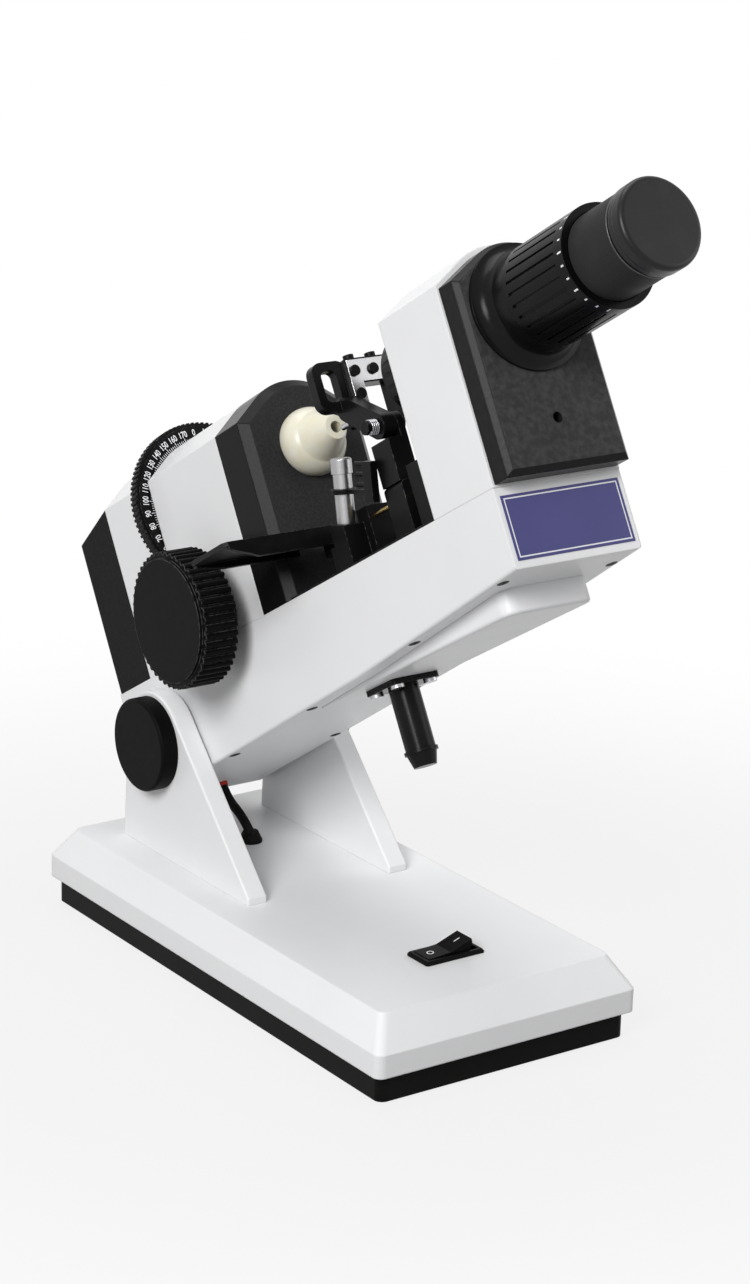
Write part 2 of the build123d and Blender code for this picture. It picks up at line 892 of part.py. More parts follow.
with BuildPart() as rear_cap:
    add(hood(across(housing_rear), housing_half, beam_top, housing_shoulder, crown_radius))
    add(hood(across(cap_rear), housing_half, beam_top, housing_shoulder, crown_radius, cap_drop))
    loft()
    fillet(rear_cap.faces().sort_by(Axis(pivot, along))[0].edges(), cap_edge)
    add(hood(across(housing_rear), inner_half, beam_top, housing_shoulder - housing_wall / 2, inner_crown))
    add(
        hood(
            across(cap_rear + housing_wall),
            inner_half - cap_edge / 2,
            beam_top + cap_edge,
            housing_shoulder - housing_wall,
            inner_crown - cap_edge / 2,
            cap_drop,
        )
    )
    loft(mode=Mode.SUBTRACT)
    with BuildSketch(above(axis_height)):
        for row_u in vent_rows:
            with Locations((row_u, 0)):
                with GridLocations(1, vent_pitch, 1, vent_count):
                    SlotOverall(vent_length, vent_width)
    extrude(amount=crown_radius + vent_length, mode=Mode.SUBTRACT)

with BuildPart() as front_bezel:
    extrude(
        hood(across(housing_front), housing_half, beam_top, housing_shoulder, crown_radius),
        amount=bezel_front - housing_front,
    )
    front_rim = front_bezel.faces().sort_by(Axis(pivot, along))[-1].edges()
    chamfer(front_rim.filter_by_position(Axis(pivot, upright), beam_top + 1, 2 * axis_height), bezel_bevel)
    extrude(
        hood(
            across(housing_front),
            inner_half - bezel_bevel / 2,
            beam_top,
            housing_shoulder - bezel_bevel,
            inner_crown - bezel_bevel / 2,
        ),
        amount=bezel_front - housing_front - housing_wall,
        mode=Mode.SUBTRACT,
    )
    with BuildSketch(round_axis(housing_front)):
        Circle(spigot_radius + fitted)
    extrude(amount=bezel_front - housing_front, mode=Mode.SUBTRACT)

with BuildPart() as condenser_tube:
    add(
        turned(
            (bulkhead_rear, condenser_bore),
            (bulkhead_rear, condenser_radius),
            (bulkhead_rear + bulkhead, condenser_radius),
            (bulkhead_rear + bulkhead, condenser_radius + 2),
            (dial_rear - free_gap, condenser_radius + 2),
            (dial_rear - free_gap, condenser_radius),
            (condenser_front, condenser_radius),
            (condenser_front, condenser_bore),
        )
    )
    add(
        turned(
            (dial_rear + dial_rim + free_gap, condenser_radius + fitted),
            (dial_rear + dial_rim + free_gap, condenser_radius + 2),
            (condenser_front - 1, condenser_radius + 2),
            (condenser_front - 1, condenser_radius + fitted),
        )
    )

with BuildPart() as condenser_lens:
    add(lens(condenser_lens_rear, condenser_lens_thickness, condenser_bore - fitted, lens_bulge))

with BuildPart() as lamp_house:
    add(
        turned(
            (bulkhead_rear, lamp_house_bore),
            (bulkhead_rear, lamp_house_rim),
            (bulkhead_rear - lamp_house_wall, lamp_house_rim),
            (bulkhead_rear - lamp_house_wall, lamp_house_radius),
            (lamp_house_rear, lamp_house_radius),
            (lamp_house_rear, lamp_base_radius + fitted),
            (lamp_house_rear + lamp_house_wall, lamp_base_radius + fitted),
            (lamp_house_rear + lamp_house_wall, lamp_house_bore),
        )
    )

lamp_rear = lamp_house_rear - 3
lamp_neck = lamp_rear + lamp_base_length
bulb_middle = lamp_neck + math.sqrt(bulb_radius**2 - lamp_base_radius**2)

with BuildPart() as lamp:
    with BuildSketch(lathe):
        with BuildLine():
            Polyline(
                (bulb_middle + bulb_radius, 0),
                (lamp_rear, 0),
                (lamp_rear, lamp_base_radius),
                (lamp_neck, lamp_base_radius),
            )
            ThreePointArc(
                (lamp_neck, lamp_base_radius), (bulb_middle, bulb_radius), (bulb_middle + bulb_radius, 0)
            )
        make_face()
    revolve(axis=optical_axis)

# ================================================================ axis dial and target
with BuildPart() as axis_dial:
    with BuildSketch(round_axis(dial_rear)):
        Circle(dial_radius)
        with PolarLocations(dial_radius, dial_teeth):
            Rectangle(2 * dial_tooth_depth, math.pi * dial_radius / dial_teeth, mode=Mode.SUBTRACT)
        Circle(condenser_radius + running, mode=Mode.SUBTRACT)
    extrude(amount=dial_rim)
    with BuildSketch(round_axis(dial_rear + dial_rim)):
        Circle(scale_inner - dial_web)
        Circle(hub_radius, mode=Mode.SUBTRACT)
    extrude(amount=-dial_web, mode=Mode.SUBTRACT)
    with BuildSketch(round_axis(dial_rear + dial_rim)):
        with Locations((0, drive_rod_orbit)):
            Circle(drive_rod_radius)
    extrude(amount=drive_rod_front - dial_rear - dial_rim)

with BuildPart() as dial_scale:
    with BuildSketch(round_axis(dial_rear + dial_rim)):
        Circle(scale_outer)
        Circle(scale_inner, mode=Mode.SUBTRACT)
    extrude(amount=scale_thickness)

cell_rear = knob_u - cell_thickness / 2 - 2

with BuildPart() as target_cell:
    with BuildSketch(round_axis(cell_rear)):
        Circle(cell_radius)
        Circle(target_radius - 1.5, mode=Mode.SUBTRACT)
        with Locations((0, drive_rod_orbit)):
            Circle(drive_rod_radius + running, mode=Mode.SUBTRACT)
    extrude(amount=cell_thickness)
    with BuildSketch(round_axis(cell_rear)):
        Circle(target_radius + fitted)
    extrude(amount=target_thickness, mode=Mode.SUBTRACT)

with BuildPart() as target_plate:
    with BuildSketch(round_axis(cell_rear)):
        Circle(target_radius)
    extrude(amount=target_thickness)

rack_line = knob_n + pinion_radius + mesh_gap
rack_pitch = 2 * math.pi * pinion_radius / pinion_teeth
tooth_height = 2 * pinion_radius / pinion_teeth
tooth_root = 1.25 * tooth_height
tooth_half = rack_pitch / 4 - tooth_backlash / 2
tooth_slope = math.tan(math.radians(pressure_angle))
tip_narrowing = tooth_height * tooth_slope
root_widening = tooth_root * tooth_slope

with BuildPart() as target_carriage:
    with BuildSketch(round_axis(cell_rear)):
        Circle(carriage_ring)
        with Locations((0, (target_rod_n - axis_height) / 2)):
            Rectangle(2 * carriage_web, axis_height - target_rod_n)
        Circle(cell_radius + running, mode=Mode.SUBTRACT)
    extrude(amount=cell_thickness)
    with BuildSketch(across(cell_rear)):
        with Locations((0, target_rod_n)):
            RectangleRounded(2 * target_rod_x + carriage_bar - carriage_corner, carriage_bar, carriage_corner)
        with Locations((-target_rod_x, target_rod_n), (target_rod_x, target_rod_n)):
            Circle(target_rod_radius + running, mode=Mode.SUBTRACT)
    extrude(amount=cell_thickness)
    with BuildSketch(above(rack_line + tooth_root)):
        with Locations((knob_u, 0)):
            Rectangle(2 * rack_reach, pinion_width)
    extrude(amount=target_rod_n - carriage_bar / 2 + weld_overlap - rack_line - tooth_root)
    with BuildSketch(beside(-pinion_width / 2)):
        with Locations((knob_u, rack_line)):
            with GridLocations(rack_pitch, 1, 2 * rack_half_teeth, 1):
                Polygon(
                    (-tooth_half + tip_narrowing, -tooth_height),
                    (tooth_half - tip_narrowing, -tooth_height),
                    (tooth_half + root_widening, tooth_root),
                    (-tooth_half - root_widening, tooth_root),
                    align=None,
                )
    extrude(amount=-pinion_width)

# ================================================================ power knob
with BuildPart() as power_knob:
    with BuildSketch(beside(knob_thickness - knob_face)):
        with Locations((knob_u, knob_n)):
            Circle(knob_radius)
            with PolarLocations(knob_radius, knob_ribs):
                Circle(knob_rib_radius)
    extrude(amount=knob_thickness)
    with BuildSketch(beside(-knob_face)):
        with Locations((knob_u, knob_n)):
            Circle(knob_radius + 2 * knob_rib_radius)
            Circle(knob_radius - knob_face_step, mode=Mode.SUBTRACT)
    extrude(amount=-knob_face_step, mode=Mode.SUBTRACT)
    with BuildSketch(beside(knob_thickness - knob_face)):
        with Locations((knob_u, knob_n)):
            Circle(knob_hub)
    extrude(amount=-(knob_face - knob_thickness - housing_half - 2 * free_gap))
    with BuildSketch(beside(-housing_half)):
        with Locations((knob_u, knob_n)):
            Circle(knob_shaft_radius + fitted)
    extrude(amount=knob_face - housing_half - tilt_knob_wall, mode=Mode.SUBTRACT)

with BuildPart() as pinion_shaft:
    with BuildSketch(beside(housing_half - housing_wall / 3 - free_gap)):
        with Locations((knob_u, knob_n)):
            Circle(knob_shaft_radius)
    extrude(amount=knob_face + housing_half - housing_wall / 3 - tilt_knob_wall - 2 * free_gap)
    with BuildSketch(beside(pinion_width / 2)):
        with Locations((knob_u, knob_n)):
            Circle(pinion_radius - tooth_root)
            with PolarLocations(pinion_radius, pinion_teeth, start_angle=90):
                Polygon(
                    (tooth_height, tooth_half - tip_narrowing),
                    (tooth_height, -tooth_half + tip_narrowing),
                    (-1.2 * tooth_root, -tooth_half - root_widening),
                    (-1.2 * tooth_root, tooth_half + root_widening),
                    align=None,
                )
    extrude(amount=pinion_width)

# ================================================================ nose and standard lens
with BuildPart() as nose:
    with BuildSketch(lathe):
        with BuildLine():
            Polyline(
                (bezel_front, nose_radius),
                (bezel_front, spigot_radius),
                (spigot_rear, spigot_radius),
                (spigot_rear, lens_radius),
                (bezel_front - housing_wall, lens_radius),
                (bezel_front + housing_wall, lens_radius / 2),
                (nose_tip, nose_bore),
                (nose_tip, nose_tip_radius),
                (nose_dome_end + 1, nose_cone_radius),
                (nose_dome_end, nose_cone_radius + 0.6),
            )
            ThreePointArc(
                (nose_dome_end, nose_cone_radius + 0.6),
                (bezel_front + 7.5, nose_radius - 0.9),
                (bezel_front, nose_radius),
            )
        make_face()
    revolve(axis=optical_axis)

with BuildPart() as standard_lens:
    add(lens(standard_lens_rear, standard_lens_thickness, lens_radius - fitted, lens_bulge))

# ================================================================ front tower and telescope
tower_inner = beam_half - housing_wall

with BuildPart() as tower:
    extrude(
        hood(across(tower_rear), beam_half, beam_top, tower_shoulder, crown_radius),
        amount=tower_front - tower_rear,
    )
    rear_rim = tower.faces().sort_by(Axis(pivot, along))[0].edges()
    fillet(rear_rim.filter_by_position(Axis(pivot, upright), beam_top + 1, 2 * axis_height), tower_edge)
    extrude(
        hood(
            across(tower_rear + housing_wall),
            tower_inner,
            beam_top + housing_wall,
            tower_shoulder - housing_wall / 2,
            inner_crown,
        ),
        amount=tower_front,
        mode=Mode.SUBTRACT,
    )
    with BuildSketch(above(beam_top)):
        with Locations(((tower_rear + tower_front) / 2, 0)):
            Rectangle(tower_front - tower_rear - 2 * housing_wall, 2 * tower_inner)
    extrude(amount=housing_wall, mode=Mode.SUBTRACT)
    with BuildSketch(round_axis(tower_rear)):
        Circle(tube_radius + fitted)
    extrude(amount=housing_wall, mode=Mode.SUBTRACT)
    with BuildSketch(above(axis_height + inner_crown - 1)):
        with Locations(*plug_places):
            Circle(plug_neck + fitted)
    extrude(amount=housing_wall + 1.5, mode=Mode.SUBTRACT)

with BuildPart() as top_plugs:
    with BuildSketch(above(axis_height + inner_crown - 1)):
        with Locations(*plug_places):
            Circle(plug_neck)
    extrude(amount=housing_wall + 1.2)
    with BuildSketch(above(axis_height + crown_radius + 0.2)):
        with Locations(*plug_places):
            Circle(plug_radius)
    extrude(amount=plug_height)
    fillet(top_plugs.edges().group_by(Axis(pivot, upright))[-1], plug_height / 2)

with BuildPart() as front_plate:
    extrude(
        hood(across(tower_front), plate_half, plate_foot, plate_shoulder, plate_crown),
        amount=plate_front - tower_front,
    )
    chamfer(front_plate.faces().sort_by(Axis(pivot, along))[-1].edges(), plate_bevel)
    with BuildSketch(round_axis(tower_front)):
        Circle(neck_spigot + fitted)
    extrude(amount=plate_front - tower_front, mode=Mode.SUBTRACT)
    with BuildSketch(across(plate_front)):
        with Locations((0, plate_screw_n)):
            Circle(plate_screw_hole)
    extrude(amount=tower_front - plate_front, mode=Mode.SUBTRACT)

with BuildPart() as telescope_tube:
    add(
        turned(
            (ring_rear - 0.4, tube_radius),
            (ring_rear - 0.4, tube_radius + 2),
            (ring_rear - 3.4, tube_radius + 2),
            (ring_rear - 3.4, tube_bore),
            (tower_front, tube_bore),
            (tower_front, tube_radius),
        )
    )

with BuildPart() as objective_lens:
    add(lens(objective_lens_rear, objective_lens_thickness, tube_bore - fitted, lens_bulge))

with BuildPart() as prism_ring:
    add(
        turned(
            (ring_rear, tube_radius + running),
            (ring_rear, ring_radius_rear),
            (ring_front, ring_radius_front),
            (ring_front, tube_radius + running),
        )
    )
    with BuildSketch(round_axis(ring_rear)):
        with PolarLocations(ring_radius_front, ring_ribs):
            Rectangle(2 * ring_groove + ring_radius_front - ring_radius_rear, ring_groove_width)
    extrude(amount=ring_front - ring_rear - ring_lip, mode=Mode.SUBTRACT)

# ================================================================ eyepiece
with BuildPart() as eyepiece_neck:
    with BuildSketch(lathe):
        with BuildLine():
            Polyline(
                (neck_front - neck_parallel, neck_radius),
                (neck_front, neck_radius),
                (neck_front, neck_step),
                (neck_front + neck_step_length, neck_step),
                (neck_front + neck_step_length, guide_radius),
                (guide_front, guide_radius),
                (guide_front, guide_bore),
                (tower_front, guide_bore),
                (tower_front, neck_spigot),
                (plate_front, neck_spigot),
                (plate_front, neck_flare),
                (plate_front + neck_rim, neck_flare),
            )
            ThreePointArc(
                (plate_front + neck_rim, neck_flare),
                (plate_front + 3.4, neck_radius + 1.9),
                (neck_front - neck_parallel, neck_radius),
            )
        make_face()
    revolve(axis=optical_axis)

with BuildPart() as diopter_ring:
    add(
        turned(
            (diopter_rear, neck_step + running),
            (diopter_rear, diopter_radius + diopter_rib_height),
            (diopter_front, diopter_radius + diopter_rib_height),
            (diopter_front, barrel_radius + free_gap),
            (diopter_front - ring_counterbore, barrel_radius + free_gap),
            (diopter_front - ring_counterbore, neck_step + running),
        )
    )
    with BuildSketch(round_axis(diopter_rear + diopter_lip)):
        with PolarLocations(diopter_radius + diopter_rib_height, diopter_ribs):
            Rectangle(2 * diopter_rib_height, diopter_groove)
    extrude(amount=diopter_groove_length, mode=Mode.SUBTRACT)

with BuildPart() as eyepiece_barrel:
    add(
        turned(
            (barrel_rear, guide_radius + running),
            (barrel_rear, neck_step - free_gap),
            (diopter_front - barrel_engage, neck_step - free_gap),
            (diopter_front - barrel_engage, barrel_radius),
            (barrel_front - 1.9, barrel_radius),
            (barrel_front - 1.9, barrel_radius - 0.7),
            (barrel_front, barrel_radius - 0.7),
            (barrel_front, barrel_mouth),
            (barrel_front - barrel_lip, barrel_mouth),
            (barrel_front - barrel_lip, eye_lens_radius),
            (diopter_front - barrel_seat, eye_lens_radius),
            (diopter_front - barrel_seat, guide_radius + running),
        )
    )

with BuildPart() as eyepiece_lenses:
    add(lens(field_lens_rear, field_lens_thickness, eye_lens_radius - fitted, eye_lens_bulge))
    add(lens(eye_lens_rear, eye_lens_thickness, eye_lens_radius - fitted, eye_lens_bulge))

with BuildPart() as dust_cap:
    add(
        turned(
            (cap_rear_face, 0),
            (cap_rear_face, dust_cap_radius),
            (cap_front_face, dust_cap_radius),
            (cap_front_face, 0),
        )
    )
    fillet(dust_cap.edges().group_by(Axis(pivot, along))[-1], dust_cap_edge)
    with BuildSketch(round_axis(cap_rear_face)):
        Circle(barrel_mouth - running)
        Circle(barrel_mouth - 1.6, mode=Mode.SUBTRACT)
    extrude(amount=-cap_plug_length)

# ================================================================ mechanism bed
bed_rear = bezel_front + seam
bed_front = tower_rear - seam

with BuildPart() as mechanism_bed:
    with BuildSketch(above(beam_top)):
        with Locations(((bed_rear + bed_front) / 2, 0)):
            Rectangle(bed_front - bed_rear, 2 * (beam_half - bed_inset))
    extrude(amount=bed_top - beam_top)
    with BuildSketch(above(bed_top - bed_thickness)):
        with Locations(((bed_rear + bed_front) / 2, 0)):
            Rectangle(bed_front - bed_rear, 2 * (beam_half - beam_wall - fitted))
    extrude(amount=bed_thickness)
    with BuildSketch(above(bed_top)):
        with Locations(((rear_block + rod_plate_rear) / 2, 0)):
            Rectangle(rod_plate_rear - rear_block, 2 * rear_block_half)
    extrude(amount=rear_block_top - bed_top)
    with BuildSketch(above(bed_top)):
        with Locations(((rod_plate_rear + rod_plate_front) / 2, (rod_plate_left + rod_plate_right) / 2)):
            Rectangle(rod_plate_front - rod_plate_rear, rod_plate_right - rod_plate_left)
    extrude(amount=rod_plate_top - bed_top)
    with BuildSketch(above(bed_top)):
        with Locations(((front_block_rear + bed_front) / 2, 0)):
            Rectangle(bed_front - front_block_rear, 2 * front_block_half)
    extrude(amount=front_block_top - bed_top)
    with BuildSketch(beside(marker_x + marker_lug)):
        with BuildLine():
            Polyline(
                (marker_u - marker_lug * marker_cos, bed_top),
                (marker_u - marker_lug * marker_cos, marker_n + marker_lug * marker_sin),
                (marker_u + marker_lug * marker_cos, marker_n - marker_lug * marker_sin),
                (marker_u + marker_lug * marker_cos, bed_top),
                close=True,
            )
        make_face()
    extrude(amount=2 * marker_lug)
    upper_edges = mechanism_bed.edges().filter_by(Axis(pivot, upright))
    block_edges = upper_edges.filter_by_position(
        Axis(pivot, along), front_block_rear - bed_inset, front_block_rear + bed_inset
    )
    chamfer(block_edges, block_chamfer)
    with BuildSketch(across(rod_plate_rear + rod_seat)):
        with Locations((brass_rod_x, brass_rod_low), (brass_rod_x, brass_rod_high)):
            Circle(brass_rod_radius + fitted)
        with Locations((0, steel_rod_n)):
            Circle(steel_rod_radius + fitted)
    extrude(amount=front_block_rear + rod_seat - rod_plate_rear - rod_seat, mode=Mode.SUBTRACT)
    with BuildSketch(above(bed_top)):
        with Locations((column_u, 0)):
            Circle(column_radius + running)
    extrude(amount=-bed_thickness, mode=Mode.SUBTRACT)
    with BuildSketch(marker_plane):
        Circle(marker_spigot + fitted)
    extrude(amount=-marker_spigot_length, mode=Mode.SUBTRACT)

rod_length = front_block_rear - rod_plate_rear

with BuildPart() as brass_rods:
    with BuildSketch(across(rod_plate_rear + rod_seat)):
        with Locations((brass_rod_x, brass_rod_low), (brass_rod_x, brass_rod_high)):
            Circle(brass_rod_radius)
    extrude(amount=rod_length)

with BuildPart() as steel_rods:
    with BuildSketch(across(rod_plate_rear + rod_seat)):
        with Locations((0, steel_rod_n)):
            Circle(steel_rod_radius)
    extrude(amount=rod_length)
    with BuildSketch(across(bulkhead_rear)):
        with Locations((-target_rod_x, target_rod_n), (target_rod_x, target_rod_n)):
            Circle(target_rod_radius)
    extrude(amount=bezel_front - housing_wall - bulkhead_rear)

# ================================================================ lens holder
with BuildPart() as holder_carriage:
    with BuildSketch(across(slider_rear)):
        with Locations(((slider_left + slider_right) / 2, (slider_bottom + slider_top) / 2)):
            RectangleRounded(slider_right - slider_left, slider_top - slider_bottom, 2)
        with Locations((brass_rod_x, brass_rod_low), (brass_rod_x, brass_rod_high)):
            Circle(brass_rod_radius + running, mode=Mode.SUBTRACT)
        with Locations((0, steel_rod_n)):
            Circle(steel_rod_radius + running, mode=Mode.SUBTRACT)
    extrude(amount=slider_length)
    with BuildSketch(beside(post_right)):
        with Locations(((slider_rear + post_front) / 2, (slider_top + post_top) / 2)):
            Rectangle(post_front - slider_rear, post_top - slider_top)
    extrude(amount=post_right - slider_left)
    with BuildSketch(beside(post_right)):
        with Locations((arm_pivot_u, arm_pivot_n)):
            Circle(arm_root)
        with Locations((arm_pivot_u, post_top - arm_root)):
            Rectangle(2 * arm_root, arm_root)
        make_hull()
        with Locations((arm_pivot_u, arm_pivot_n)):
            Circle(arm_pin_radius + fitted, mode=Mode.SUBTRACT)
    extrude(amount=post_right - arm_right - free_gap)

with BuildPart() as holder_arm:
    with BuildSketch(beside(arm_right)):
        with Locations((arm_pivot_u, arm_pivot_n)):
            Circle(arm_root)
        with Locations((heel_u, heel_n)):
            Circle(heel_radius)
        make_hull()
    extrude(amount=arm_right - arm_left)
    with BuildSketch(across(fork_rear)):
        with Locations((0, (fork_foot + fork_top) / 2)):
            RectangleRounded(2 * fork_half, fork_top - fork_foot, 2)
        with Locations((0, (fork_foot + fork_window_top) / 2)):
            Rectangle(2 * fork_leg_inner, fork_window_top - fork_foot, mode=Mode.SUBTRACT)
    extrude(amount=fork_front - fork_rear)
    with BuildSketch(across(finger_loop_rear)):
        with Locations(((finger_loop_left - fork_half) / 2 + 1, (fork_top + finger_loop_foot) / 2)):
            RectangleRounded(-finger_loop_left - fork_half + 2, fork_top - finger_loop_foot, 5)
        with Locations((finger_window_x, (fork_top + finger_loop_foot) / 2)):
            RectangleRounded(
                finger_window_width,
                fork_top - finger_loop_foot - 2 * finger_rim,
                finger_window_width / 3,
                mode=Mode.SUBTRACT,
            )
    extrude(amount=finger_loop_thickness)
    with BuildSketch(beside(arm_right)):
        with Locations((arm_pivot_u, arm_pivot_n)):
            Circle(arm_pin_radius + running)
    extrude(amount=arm_right - arm_left, mode=Mode.SUBTRACT)
    with BuildSketch(round_axis(fork_rear)):
        with PolarLocations(pin_circle, 3, start_angle=90):
            Circle(pin_radius + fitted)
    extrude(amount=pin_seat, mode=Mode.SUBTRACT)

with BuildPart() as holder_pins:
    with BuildSketch(round_axis(fork_rear + pin_seat)):
        with PolarLocations(pin_circle, 3, start_angle=90):
            Circle(pin_radius)
    extrude(amount=pin_tip - fork_rear - pin_seat)
    fillet(holder_pins.edges().group_by(Axis(pivot, along))[0], pin_radius * 0.8)
    with BuildSketch(round_axis(fork_rear)):
        with PolarLocations(pin_circle, 3, start_angle=90):
            Circle(pin_collar)
    extrude(amount=-pin_collar_length)

with BuildPart() as fork_plate:
    with BuildSketch(across(fork_front)):
        with BuildLine():
            Polyline(
                (fork_plate_left, fork_plate_foot),
                (fork_plate_left, fork_top - 1),
                (fork_plate_right, fork_top - 1),
                (fork_plate_right, fork_window_top + 0.4),
                (-fork_leg_inner - 0.4, fork_window_top + 0.4),
                (-fork_leg_inner - 0.4, fork_plate_foot),
                close=True,
            )
        make_face()
        with Locations(*fork_screw_places):
            Circle(fork_screw + fitted, mode=Mode.SUBTRACT)
    extrude(amount=fork_plate_thickness)

with BuildPart() as fork_screws:
    with BuildSketch(across(fork_front)):
        with Locations(*fork_screw_places):
            Circle(fork_screw)
    extrude(amount=fork_plate_thickness)
    with BuildSketch(across(fork_front + fork_plate_thickness)):
        with Locations(*fork_screw_places):
            Circle(fork_screw_head)
    extrude(amount=fork_screw_head / 2)
    with BuildSketch(above(fork_top)):
        with Locations(*top_screw_places):
            Circle(fork_screw_head)
    extrude(amount=fork_screw_head)

with BuildPart() as arm_pin:
    with BuildSketch(beside(post_right + arm_pin_head)):
        with Locations((arm_pivot_u, arm_pivot_n)):
            Circle(2 * arm_pin_radius)
    extrude(amount=arm_pin_head)
    with BuildSketch(beside(post_right)):
        with Locations((arm_pivot_u, arm_pivot_n)):
            Circle(arm_pin_radius)
    extrude(amount=post_right - spring_left)
    with BuildSketch(beside(spring_left)):
        with Locations((arm_pivot_u, arm_pivot_n)):
            Circle(2 * arm_pin_radius)
    extrude(amount=arm_pin_head / 2)

spring_centre = pivot + along * arm_pivot_u + upright * arm_pivot_n
spring_start = spring_centre + Vector(arm_left - free_gap - spring_wire, 0, 0)

with BuildPart() as arm_spring:
    with BuildLine():
        coil = Helix(
            pitch=spring_pitch,
            height=spring_pitch * spring_turns,
            radius=spring_radius,
            center=spring_start,
            direction=(-1, 0, 0),
        )
    with BuildSketch(Plane(origin=coil @ 0, z_dir=coil % 0)):
        RegularPolygon(spring_wire, 8)
    sweep(is_frenet=True)

# ================================================================ spectacle table
with BuildPart() as table_plate:
    with BuildSketch(above(table_top - table_sheet)):
        with Locations(((table_rear + table_front) / 2, 0)):
            Rectangle(table_front - table_rear, 2 * table_half)
        with BuildLine():
            Polyline(
                (table_rear, -notch_mouth),
                (table_rear + notch_depth, -notch_throat),
                (table_rear + notch_depth, notch_throat),
                (table_rear, notch_mouth),
                close=True,
            )
        make_face(mode=Mode.SUBTRACT)
    extrude(amount=table_sheet)
    chamfer(table_plate.edges().filter_by(Axis(pivot, upright)).sort_by(Axis.X)[:2], 2)
    chamfer(table_plate.edges().filter_by(Axis(pivot, upright)).sort_by(Axis.X)[-2:], 2)
    rims = [(table_front, table_flange, 0), (table_rear + table_sheet, table_lip, notch_mouth)]
    for face_u, depth, inner_x in rims:
        for side in (-1, 1):
            with BuildSketch(across(face_u)):
                with BuildLine():
                    Polyline(
                        (side * (table_half - 2), table_top),
                        (side * (table_half - 2), table_top - table_sheet - 1),
                        (side * table_flange_start, table_top - depth),
                        (side * inner_x, table_top - depth),
                        (side * inner_x, table_top),
                        close=True,
                    )
                make_face()
            extrude(amount=-table_sheet)
    with BuildSketch(above(table_top - table_sheet)):
        with Locations(((table_hub_rear + table_front - table_sheet) / 2, 0)):
            Rectangle(table_front - table_sheet - table_hub_rear, table_hub_width)
    extrude(amount=-table_hub)
    with BuildSketch(above(table_top - table_sheet - table_hub)):
        with Locations((column_u, 0)):
            Circle(column_radius + fitted)
    extrude(amount=table_hub, mode=Mode.SUBTRACT)

with BuildPart() as table_column:
    with BuildSketch(above(table_top - table_sheet)):
        with Locations((column_u, 0)):
            Circle(column_radius)
    extrude(amount=column_bottom - table_top + table_sheet)
    chamfer(table_column.edges().group_by(Axis(pivot, upright))[0], 0.8)

# ================================================================ ink marker
with BuildPart() as marker_post:
    with BuildSketch(marker_plane.offset(-marker_spigot_length)):
        Circle(marker_spigot)
    extrude(amount=marker_spigot_length)
    with BuildSketch(marker_plane):
        Circle(marker_radius)
    extrude(amount=marker_groove_height)
    with BuildSketch(marker_plane.offset(marker_groove_height)):
        Circle(marker_groove_radius)
    extrude(amount=marker_groove)
    with BuildSketch(marker_plane.offset(marker_groove_height + marker_groove)):
        Circle(marker_radius)
    extrude(amount=marker_length - marker_cap - marker_groove_height - marker_groove)
    with BuildSketch(marker_plane.offset(marker_length - marker_cap)):
        Circle(marker_cap_radius)
    extrude(amount=marker_cap)
    chamfer(marker_post.edges().group_by(marker_axis)[-1], 0.6)

with BuildPart() as marker_arm:
    with BuildSketch(marker_plane.offset(marker_groove_height + marker_end_play)):
        Circle(marker_collar)
        Circle(marker_groove_radius + running, mode=Mode.SUBTRACT)
    extrude(amount=marker_groove - 2 * marker_end_play)
    with BuildSketch(marker_plane.offset(marker_groove_height + marker_end_play)):
        with Locations(((marker_collar + marker_reach) / 2 - 0.4, 0)):
            Rectangle(marker_reach - marker_collar + 0.8, marker_groove - 2 * marker_end_play)
    extrude(amount=marker_groove - 2 * marker_end_play)
    with BuildSketch(marker_plane.offset(marker_groove_height - marker_head_drop)):
        with Locations((marker_reach + marker_head_length / 2, 0)):
            Rectangle(marker_head_length, marker_head_width)
    extrude(amount=marker_head_height)
    pin_face = marker_plane.origin + marker_plane.x_dir * (marker_reach + marker_head_length)
    with BuildSketch(Plane(origin=pin_face, x_dir=(-1, 0, 0), z_dir=-marker_plane.x_dir)):
        for pin_height in marker_pin_heights:
            with Locations((0, marker_groove_height + pin_height)):
                Circle(marker_pin)
    extrude(amount=marker_head_length + marker_pin_length)

# ================================================================ lamp lead
grommet_top = base_height + grommet_height
lead_start = pivot + along * lead_u + upright * (lead_n + 2)
lead_exit = pivot + along * lead_u + upright * lead_n
lead_down = lead_exit - upright * lead_run
lead_end = Vector(lead_foot_x, lead_foot_y, base_height + 1)
foot_line = Vector(0, math.cos(math.radians(lead_lean)), math.sin(math.radians(lead_lean)))
lead_up = lead_end + foot_line * lead_run

with BuildPart() as lead_grommet:
    with BuildSketch(Plane.XZ.offset(-lead_foot_y)):
        with BuildLine():
            Polyline(
                (lead_foot_x, base_height - base_wall),
                (lead_foot_x + grommet_neck, base_height - base_wall),
                (lead_foot_x + grommet_neck, base_height),
                (lead_foot_x + grommet_radius, base_height),
                (lead_foot_x + grommet_radius, base_height + 1),
                (lead_foot_x + lead_radius + 1.4, grommet_top),
                (lead_foot_x, grommet_top),
                close=True,
            )
        make_face()
    revolve(axis=Axis((lead_foot_x, lead_foot_y, 0), (0, 0, 1)))
    with BuildSketch(Plane(origin=lead_end, z_dir=foot_line)):
        Circle(lead_radius + fitted)
    extrude(amount=4 * grommet_height, mode=Mode.SUBTRACT)

lead_points = [lead_start, lead_down, lead_up, lead_end]
lead_radii = []
for before, corner, after in zip(lead_points, lead_points[1:], lead_points[2:]):
    half_turn = math.radians((corner - before).get_angle(after - corner)) / 2
    shorter = min((corner - before).length, (after - corner).length)
    lead_radii.append(0.45 * shorter / math.tan(half_turn))
print("lamp lead radii", [round(radius, 1) for radius in lead_radii])

